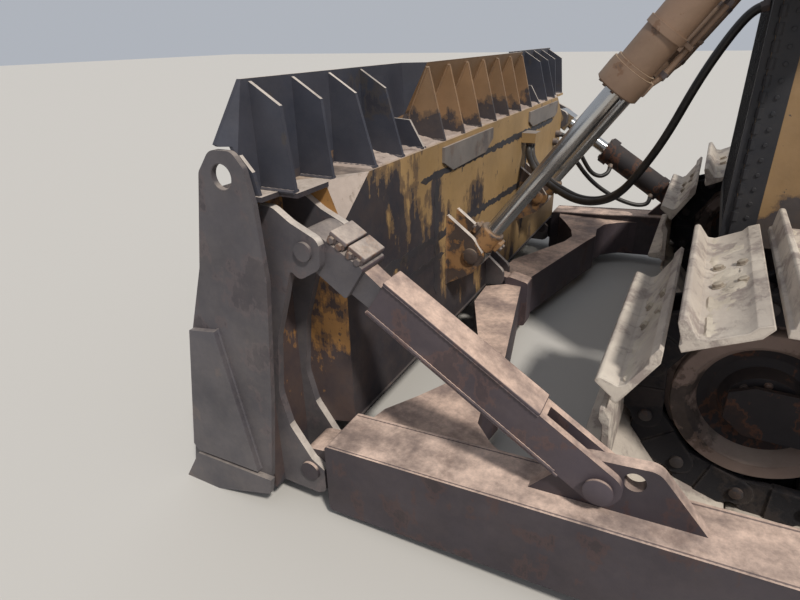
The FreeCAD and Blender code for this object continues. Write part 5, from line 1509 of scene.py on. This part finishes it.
@dataclass
class Hoses:
    """The hoses from the machine to the blade and on to the tilt cylinder. Routes in metres."""

    radius: float = 0.019
    thin: float = 0.016
    gap: float = 0.046
    blade_route: Sequence[tuple[float, float, float]] = (
        (1.1103, 0.250, 1.800), (1.150, 0.250, 1.800), (1.215, 0.232, 1.715), (1.306, 0.200, 1.531),
        (1.400, 0.150, 1.270), (1.493, 0.100, 1.089), (1.580, 0.050, 0.955), (1.690, -0.010, 0.890),
        (1.810, -0.080, 0.872), (1.932, -0.180, 0.890), (2.050, -0.300, 0.915), (2.150, -0.420, 0.960),
        (2.215, -0.520, 1.010), (2.228, -0.560, 1.055), (2.228, -0.560, 1.0897),
    )
    tilt_routes: Sequence[Sequence[tuple[float, float, float]]] = (
        ((2.265, -1.440, 1.010), (2.215, -1.440, 1.010), (2.110, -1.455, 0.930), (2.040, -1.475, 0.800),
         (1.980, -1.495, 0.715), (1.915, -1.520, 0.690), (1.875, -1.545, 0.710), (1.862, -1.571, 0.734),
         (1.862, -1.607, 0.770)),
        ((2.265, -1.370, 0.960), (2.215, -1.370, 0.960), (2.120, -1.390, 0.860), (1.980, -1.420, 0.680),
         (1.800, -1.450, 0.560), (1.640, -1.490, 0.500), (1.555, -1.530, 0.500), (1.535, -1.571, 0.528),
         (1.535, -1.607, 0.564)),
    )

    def build(self) -> None:
        """Makes the hoses and their fittings: the blade's two lie side by side along one route."""
        route = np.array(self.blade_route)
        along = np.gradient(route, axis=0)
        along /= np.linalg.norm(along, axis=1, keepdims=True)
        out = np.array([0.0, 1.0, 0.0]) - along * along[:, 1:2]
        out /= np.linalg.norm(out, axis=1, keepdims=True)
        for number, sign in ((1, -1.0), (2, 1.0)):
            self._blade_hose(number, route + out * (sign * self.gap / 2))
        for number, line in enumerate(self.tilt_routes, 1):
            self._tilt_hose(number, np.array(line))

    def _blade_hose(self, number: int, route: np.ndarray) -> None:
        """One hose from the machine to the blade.

        Args:
            number: the hose's number in its name.
            route: its line's control points.
        """
        curve, line = self._curve(f"blade_hose_line_{number}", route, self.radius)
        mesh = bpy.data.meshes.new_from_object(curve.evaluated_get(bpy.context.evaluated_depsgraph_get()))
        bpy.data.objects.remove(curve)
        hose = placed(f"blade_hose_{number}", mesh)
        mesh.materials.clear()
        mesh.materials.append(HOSE_RUBBER.material())
        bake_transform(hose)
        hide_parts("blade_hoses")
        collars = [make(f"blade_hose_{end}_{number}", tube(part, self.radius + 0.004, 6), BARE_STEEL, "hose_rubber", 0.001)
                   for make, end, part in ((on_machine, "collar", line[:4]), (on_blade, "end", line[-4:]))]

    def _tilt_hose(self, number: int, route: np.ndarray) -> None:
        """One hose from the blade's back to a port of the tilt cylinder.

        Args:
            number: the hose's number in its name.
            route: its line's control points.
        """
        hose, line = self._curve(f"tilt_hose_{number}", route, self.thin)
        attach(hose, "push_frame")
        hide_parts("tilt_hoses")
        ends = [tube(part, self.thin + 0.004, 6) for part in (line[:4], line[-4:])]
        ends.append(lathe([(-0.020, 0.026), (0.011, 0.026)], Axis.X, route[0], 20))
        fitting = on_blade(f"tilt_hose_fitting_{number}", joined(ends), BARE_STEEL, "hose_rubber", 0.001)

    @staticmethod
    def _curve(name: str, route: np.ndarray, radius: float) -> tuple[bpy.types.Object, np.ndarray]:
        """A round hose on a smooth curve with the route's points as its control points.

        Args:
            name: the object's name.
            route: control points, three columns.
            radius: the hose's radius.

        Returns:
            The curve object and the points on its centre line.
        """
        data = bpy.data.curves.new(name, "CURVE")
        data.dimensions, data.bevel_resolution, data.use_fill_caps = "3D", 5, True
        spline = data.splines.new("NURBS")
        spline.points.add(len(route) - 1)
        spline.points.foreach_set("co", np.column_stack([route, np.ones(len(route))]).ravel())
        spline.order_u, spline.use_endpoint_u, spline.resolution_u, spline.use_smooth = 3, True, 8, True
        data.materials.append(HOSE_RUBBER.material())
        obj = placed(name, data)
        bpy.context.view_layer.update()
        bare = bpy.data.meshes.new_from_object(obj.evaluated_get(bpy.context.evaluated_depsgraph_get()))
        points = np.empty(len(bare.vertices) * 3)
        bare.vertices.foreach_get("co", points)
        bpy.data.meshes.remove(bare)
        data.bevel_depth = radius
        bpy.context.view_layer.update()
        return obj, points.reshape(-1, 3)

    @staticmethod
    def _length(line: np.ndarray) -> float:
        """The length along a line of points."""
        return float(np.linalg.norm(np.diff(line, axis=0), axis=1).sum())


# Engine housing, cab and rear


@dataclass
class RadiatorFront:
    """What is fixed to the radiator guard: dark frame, woven screen, hinge knuckles and bolts. Sizes in metres."""

    wire: float = 0.0022
    mesh: float = 0.030
    step: float = 0.058

    def build(self) -> None:
        """Makes every piece of the guard's front."""
        foot, (x_front, side, _) = measured("radiator_guard")
        repaint(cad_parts["radiator_guard"], GRILLE_BLACK, lambda centre, _: centre[:, 0] > x_front - 0.045)
        low, high = measured("grille")
        y, z0, z1, x, w = high[1] - 0.012, low[2] + 0.012, high[2] - 0.012, high[0] - 0.006, self.wire
        wires = [block((x, v - w, z0), (x + 2 * w, v + w, z1)) for v in np.arange(-y, y, self.mesh)]
        wires += [block((x - 2 * w, -y, v - w), (x, y, v + w)) for v in np.arange(z0, z1, self.mesh)]
        knuckles = []
        for z in np.arange(foot[2] + 0.12, z1, self.step):
            knuckles.append(lathe([(z - 0.019, 0.015), (z + 0.019, 0.015)], Axis.Z, (x_front - 0.008, side - 0.004, 0), 10))
            knuckles.append(hex_bolt(0.009, 0.009, Axis.Y).moved(x_front - 0.052, side, z))
        strip = block((x_front - 0.090, side, foot[2] + 0.02), (x_front - 0.001, side + 0.004, z1))
        for name, shape, bevel in (
            ("radiator_screen", joined(wires), 0.0), ("guard_knuckles", both(joined(knuckles)), 0.0),
            ("guard_strips", both(strip), 0.001),
        ):
            on_machine(name, shape, GRILLE_BLACK, "grille_steel", bevel)


@dataclass
class HoodDress:
    """Handles, bolts, seams, a flap hinge, the stacks' rings and louvres on the engine housing. Sizes in metres."""

    exhaust: tuple[float, float] = (0.260, -0.170)
    cleaner: tuple[float, float] = (0.020, 0.170)
    vanes: int = 20

    def build(self) -> None:
        """Makes every piece on the hood and its panels."""
        low, high = measured("engine_panels")
        y = high[1]
        grips = [tube(smooth_path([(x, y, 1.46), (x, y + 0.034, 1.47), (x, y + 0.034, 1.57), (x, y, 1.58)], 6), 0.007, 10,
                      (1, 0, 0)) for x in (0.045, 0.365, 0.655)]
        bolts = [hex_bolt(0.010, 0.008, Axis.Y).moved(x, y, z) for x in np.linspace(low[0] + 0.05, high[0] - 0.05, 9)
                 for z in (low[2] + 0.03, high[2] - 0.05)]
        seams = [block((x - 0.003, y, low[2] + 0.06), (x + 0.003, y + 0.003, high[2] - 0.09))
                 for x in (0.0775, 0.3550, 0.6250)]
        for name, parts, finish in (("panel_grips", grips, BARE_STEEL), ("panel_bolts", bolts, BARE_STEEL),
                                    ("panel_seams", seams, SEAL_RUBBER)):
            on_machine(name, both(joined(parts)), finish)
        self._stacks()

    def _stacks(self) -> None:
        """Bands and a flap hinge on the exhaust, and louvres around the pre-cleaner."""
        base, foot = ((*at, measured(node)[0][2]) for at, node in
                      ((self.exhaust, "exhaust_stack"), (self.cleaner, "air_precleaner")))
        bands = [band(z, z + 0.024, 0.096, 0.104, Axis.Z, base) for z in (0.085, 0.345)]
        bands.append(band(0.520, 0.548, 0.050, 0.060, Axis.Z, base, 40))
        bands.append(block((-0.012, -0.084, 0.522), (0.012, -0.056, 0.546)).moved(*base))
        on_machine("exhaust_bands", joined(bands), BARE_STEEL, "dark_paint", 0.001)
        vane = block((0.133, -0.004, 0.268), (0.141, 0.004, 0.342))
        vanes = [vane.turned(Axis.Z, 360 / self.vanes * k).moved(*foot) for k in range(self.vanes)]
        vanes.append(band(0.150, 0.176, 0.060, 0.072, Axis.Z, foot, 40))
        on_machine("precleaner_vanes", joined(vanes), BARE_STEEL, "dark_paint")


@dataclass
class Cab:
    """Seals, wipers, grab bars, handles and lamp glasses of the cab, and what is inside it. Sizes in metres."""

    front: float = -0.340
    rear: float = -1.700
    half: float = 0.770
    door_face: float = 0.7725
    seat: tuple[float, float, float] = (-1.060, 0.0, 1.646)
    hinges: tuple[float, float] = (1.45, 2.62)
    lamp_y: float = 0.480
    rest_y: float = 0.300

    def build(self) -> None:
        """Makes every piece of the cab."""
        self._seals()
        self._doors()
        self._lamps()
        self._wipers()
        self._seat()
        self._controls()
        self._grab_bars()

    @staticmethod
    def _seal(low: Sequence[float], high: Sequence[float], axis: Axis, span: tuple[float, float], radius: float = 0.06) -> Shape:
        """A flat rubber frame around a pane.

        Args:
            low: the pane's lower corner, in the other two axes.
            high: its upper corner.
            axis: the axis that the pane is flat across.
            span: where the frame starts and ends on that axis.
            radius: how far from a corner its rounding starts.

        Returns:
            The closed surface.
        """
        outlines = []
        for wide in (0.024, 0.0):
            u0, v0, u1, v1 = low[0] - wide, low[1] - wide, high[0] + wide, high[1] + wide
            outlines.append(softened([(u0, v0), (u1, v0), (u1, v1), (u0, v1)], radius))
        return flat_ring(*outlines, axis, *span)

    def _seals(self) -> None:
        """Rubber around the front and rear panes."""
        panes = ((self.front, 0.060, 0.520, 1.780), (self.front, -0.520, -0.060, 1.780), (self.rear, -0.640, 0.640, 1.850))
        seals = [self._seal((y0, z0), (y1, 2.880), Axis.X, (x - 0.003, x + 0.003)) for x, y0, y1, z0 in panes]
        on_machine("pane_seals", joined(seals), SEAL_RUBBER, "hose_rubber")

    def _doors(self) -> None:
        """Rubber around each door's pane, a pull handle, and leaves on its hinges."""
        for side, sign in SIDES.items():
            face = self.door_face * sign
            seal = self._seal((-1.405, 1.680), (-0.585, 2.790), Axis.Y, (face + 0.001 * sign, face + 0.005 * sign), 0.08)
            out = face + 0.036 * sign
            grip = tube(smooth_path([(-0.559, face, 1.655), (-0.559, out, 1.665), (-0.559, out, 1.845),
                                     (-0.559, face, 1.855)], 6), 0.009, 12, (1, 0, 0))
            y0, y1 = sorted((face, face + 0.006 * sign))
            leaves = [block((-1.492, y0, z - 0.045), (-1.430, y1, z + 0.045)) for z in self.hinges]
            leaves += [hex_bolt(0.008, 0.006, Axis.Y, sign).moved(-1.448, face + 0.006 * sign, z + dz)
                       for z in self.hinges for dz in (-0.026, 0.026)]
            for name, shape, finish, slot, bevel in (
                ("door_seal", seal, SEAL_RUBBER, "hose_rubber", 0.0), ("door_pull", grip, LAMP_BLACK, "dark_paint", 0.0),
                ("hinge_leaves", joined(leaves), BODY_OCHRE, "ochre_paint", 0.001),
            ):
                piece(f"{name}_{side}", shape, finish, slot, bevel, body=f"door_{side}")

    def _lamps(self) -> None:
        """Glasses in the work lamps, front and rear."""
        low, high = measured("lamps")
        dome = [(-0.004, 0.046), (0.000, 0.046), (0.004, 0.034), (0.006, 0.014)]
        lenses = [lathe([(a * sign - 0.006 * sign, r) for a, r in dome], Axis.X, (x, y, (low[2] + high[2]) / 2), 32)
                  for x, sign in ((high[0], 1.0), (low[0], -1.0)) for y in (-self.lamp_y, self.lamp_y)]
        on_machine("lamp_lenses", joined(lenses), LAMP_LENS, "lamp_plastic")

    def _wipers(self) -> None:
        """One wiper with its arm and blade on each front pane and on the rear pane."""
        parts = []
        for x, sign, y in ((self.front, 1.0, -0.29), (self.front, 1.0, 0.29), (self.rear, -1.0, 0.0)):
            face = x + 0.010 * sign
            arm = [(face, y, 1.735), (face + 0.014 * sign, y + 0.05, 2.05), (face + 0.012 * sign, y + 0.10, 2.32)]
            parts.append(tube(arm, np.array([0.010, 0.006, 0.005]), 8))
            parts.append(tube([(face, y + 0.085, 2.02), (face, y + 0.115, 2.62)], 0.006, 6))
            parts.append(lathe([(x - 0.004 * sign, 0.020), (face + 0.012 * sign, 0.016)], Axis.X, (0, y, 1.735), 20))
        on_machine("wipers", joined(parts), LAMP_BLACK, "dark_paint")

    def _seat(self) -> None:
        """Cushion and back rest as crowned pads with seams, and the arm rests' pads."""
        x, y, z = self.seat
        pads = [self._pad((0.245, 0.235), 0.095).moved(x, y, z - 0.018),
                self._pad((0.285, 0.225), 0.085).turned(Axis.Y, 90 - 7).moved(-1.285, 0.0, 1.985)]
        cushion = on_machine("seat_pads", joined(pads), SEAT_CLOTH, "seat_cloth", smooth=60.0)
        rests = [self._pad((0.170, 0.036), 0.036).moved(x, side * self.rest_y, 2.0905) for side in (-1, 1)]
        on_machine("arm_pads", joined(rests), PANEL_PLASTIC, "seat_cloth", smooth=60.0)

    @staticmethod
    def _pad(half: tuple[float, float], height: float) -> Shape:
        """A crowned pad with rounded sides and two seams across its top, centred on the origin.

        Args:
            half: half its length and half its width.
            height: from its foot to its crown.

        Returns:
            The closed surface.
        """
        turn = np.linspace(0, 2 * math.pi, 96, endpoint=False)
        edge_x, edge_y = (size * np.sign(wave) * np.abs(wave) ** 0.28
                          for size, wave in zip(half, (np.cos(turn), np.sin(turn))))
        rings = []
        for share, lift in ((0.90, 0.0), (0.97, 0.10), (1.0, 0.30), (1.0, 0.52), (0.985, 0.56), (1.0, 0.60),
                            (0.985, 0.74), (0.94, 0.86), (0.86, 0.93), (0.74, 0.965), (0.60, 0.985), (0.44, 0.995),
                            (0.26, 1.0), (0.08, 1.0)):
            x, y = edge_x * share, edge_y * share
            seam = np.exp(-((np.abs(x) - half[0] * 0.42) / 0.010) ** 2) * (0.007 if lift > 0.9 else 0.0)
            rings.append(np.stack([x, y, np.full_like(x, lift * height) - seam], -1))
        return grid(np.stack(rings), round_v=True, lids=True)

    def _controls(self) -> None:
        """Levers with boots and knobs on the console, gauges, pedals, and a blade lever beside the seat."""
        low, high = measured("console")
        x, z = low[0] + 0.11, high[2] - 0.004
        parts, knobs = [], []
        for y in (-0.30, -0.22, 0.24):
            parts.append(lathe([(0.0, 0.030), (0.018, 0.022), (0.034, 0.012)], Axis.Z, (x, y, z), 20))
            parts.append(tube([(x, y, z), (x - 0.03, y, z + 0.11)], 0.006, 10))
            knobs.append(lathe([(-0.024, 0.010), (-0.014, 0.019), (0.008, 0.021), (0.022, 0.012)], Axis.Z,
                               (x - 0.032, y, z + 0.120), 20))
        for side in (-1, 1):
            lever, pedal = side * self.rest_y, side * 0.15
            knobs.append(lathe([(-0.030, 0.014), (-0.010, 0.024), (0.020, 0.026), (0.040, 0.014)], Axis.Z,
                               (-0.890, lever, 2.190), 20))
            parts.append(tube([(-0.890, lever, 2.085), (-0.890, lever, 2.180)], 0.008, 10))
            parts.append(block((-0.700, pedal - 0.055, 1.296), (-0.640, pedal + 0.055, 1.306)))
        dials = [lathe([(0.0, 0.031), (0.010, 0.031), (0.012, 0.027)], Axis.Z, (low[0] + 0.13, y, high[2] - 0.006), 28)
                 for y in (-0.10, -0.02, 0.06, 0.14)]
        on_machine("levers", joined(parts), PANEL_PLASTIC, "inside_plastic")
        on_machine("lever_knobs", joined(knobs), SEAL_RUBBER, "inside_plastic", smooth=60.0)
        on_machine("gauges", joined(dials), LAMP_LENS, "inside_plastic")

    def _grab_bars(self) -> None:
        """Grab bars on the cab's corner posts."""
        bars = []
        for x in (self.rear + 0.060, self.front - 0.100):
            for side in (-1, 1):
                post, out = self.half * side, (self.half + 0.042) * side
                path = smooth_path([(x, post, 1.42), (x, out, 1.44), (x, out, 2.20), (x, post, 2.22)], 6)
                bars.append(tube(path, 0.011, 12, (1, 0, 0)))
        on_machine("grab_bars", joined(bars), LAMP_BLACK, "dark_paint")


@dataclass
class Rear:
    """Caps, welds, latches, hinges, lamps and treads behind the cab. Sizes in metres."""

    neck: tuple[float, float] = (-1.990, -0.380)
    lamp_y: float = 0.48
    seam_y: float = 0.575
    hinge_y: float = 0.672
    tread_step: float = 0.060

    def build(self) -> None:
        """Makes every piece of the rear and the deck."""
        self._tank()
        self._side_boxes()
        self._deck()

    def _tank(self) -> None:
        """Cap on the filler neck, two rear lamps and the tank's upright welds."""
        low, high = measured("fuel_tank")
        neck = (*self.neck, high[2])
        cap = lathe([(-0.014, 0.062), (-0.002, 0.064), (0.000, 0.056), (0.004, 0.020)], Axis.Z, neck, 40)
        grip = block((-0.045, -0.006, -0.004), (0.045, 0.006, 0.014)).moved(*neck)
        on_machine("filler_cap", joined([cap, grip]), LAMP_BLACK, "dark_paint", 0.001)
        for name, finish, bevel, x0, x1, half, z0, z1 in (
            ("shells", LAMP_BLACK, 0.003, -0.024, 0.002, 0.062, 1.86, 1.96),
            ("lenses", RED_LENS, 0.002, -0.031, -0.023, 0.052, 1.87, 1.95),
        ):
            boxes = [block((low[0] + x0, y - half, z0), (low[0] + x1, y + half, z1)) for y in (-self.lamp_y, self.lamp_y)]
            on_machine(f"rear_lamp_{name}", joined(boxes), finish, "lamp_plastic", bevel)
        x = low[0] - 0.001
        seams = [weld([(x, y, 1.30), (x, y, 2.02)], 0.006, (1, 0, 0)) for y in (-self.seam_y, self.seam_y)]
        on_machine("tank_welds", joined(seams), BODY_OCHRE)

    def _side_boxes(self) -> None:
        """Lid lips, latches and hinges on the two boxes beside the tank."""
        latches, hinges, lips = [], [], []
        for node in ("battery_box", "hydraulic_tank"):
            low, high = measured(node)
            sign = 1.0 if high[1] > 0 else -1.0
            face, lid = high[1] if sign > 0 else low[1], high[2]
            a, b = sorted((face, face + 0.016 * sign))
            for x in (low[0] + 0.09, high[0] - 0.09):
                latches.append(block((x - 0.018, a, lid - 0.130), (x + 0.018, b, lid - 0.060)))
                hinges.append(lathe([(x - 0.035, 0.010), (x + 0.035, 0.010)], Axis.X, (0, sign * self.hinge_y, lid - 0.004), 12))
            a, b = sorted((face, face + 0.005 * sign))
            lips.append(block((low[0] + 0.004, a, lid - 0.052), (high[0] - 0.004, b, lid - 0.044)))
        for name, parts, finish, bevel in (("latches", latches, BARE_STEEL, 0.003), ("hinges", hinges, BARE_STEEL, 0.0),
                                           ("lips", lips, SEAL_RUBBER, 0.0)):
            on_machine(f"box_{name}", joined(parts), finish, bevel=bevel)

    def _deck(self) -> None:
        """Raised tread bars on the deck beside the cab, every other one turned the other way."""
        bar = block((-0.017, -0.003, -0.001), (0.017, 0.003, 0.0022))
        x, y = np.meshgrid(np.arange(-1.70, -0.36, self.tread_step), np.arange(0.86, 1.46, self.tread_step),
                           indexing="ij")
        spots = np.stack([x.ravel(), y.ravel(), np.full(x.size, 1.216)], -1)
        odd = np.indices(x.shape).sum(0).ravel() % 2 == 1
        studs = joined([copies(bar.turned(Axis.Z, turn), shifts(spots[chosen])) for turn, chosen in ((45, odd), (-45, ~odd))])
        on_machine("deck_treads", both(studs), DECK_DARK, "dark_paint")


def dress_nodes() -> None:
    """Gives every CAD node its finish."""
    finishes = {f"{stem}_{side}": finish for stem, finish in PAIR_FINISHES.items() for side in SIDES}
    finishes.update({name: finish for finish, names in NODE_FINISHES.items() for name in names.split()})
    for name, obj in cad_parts.items():
        obj.data.materials.clear()
        obj.data.materials.append(finishes[name].material())


def main() -> None:
    """Builds the studio and every sub-assembly in order."""
    logging.basicConfig(level=logging.INFO, format="%(message)s")
    Studio().build()
    Hoses().build()
    dress_nodes()
    for side in SIDES:
        Crawler(side).build()
        LiftCylinder(side).build()
    for part in (BladeDress(), Struts(), RadiatorFront(), HoodDress(), Cab(), Rear()):
        part.build()


if __name__ == "__main__":
    main()
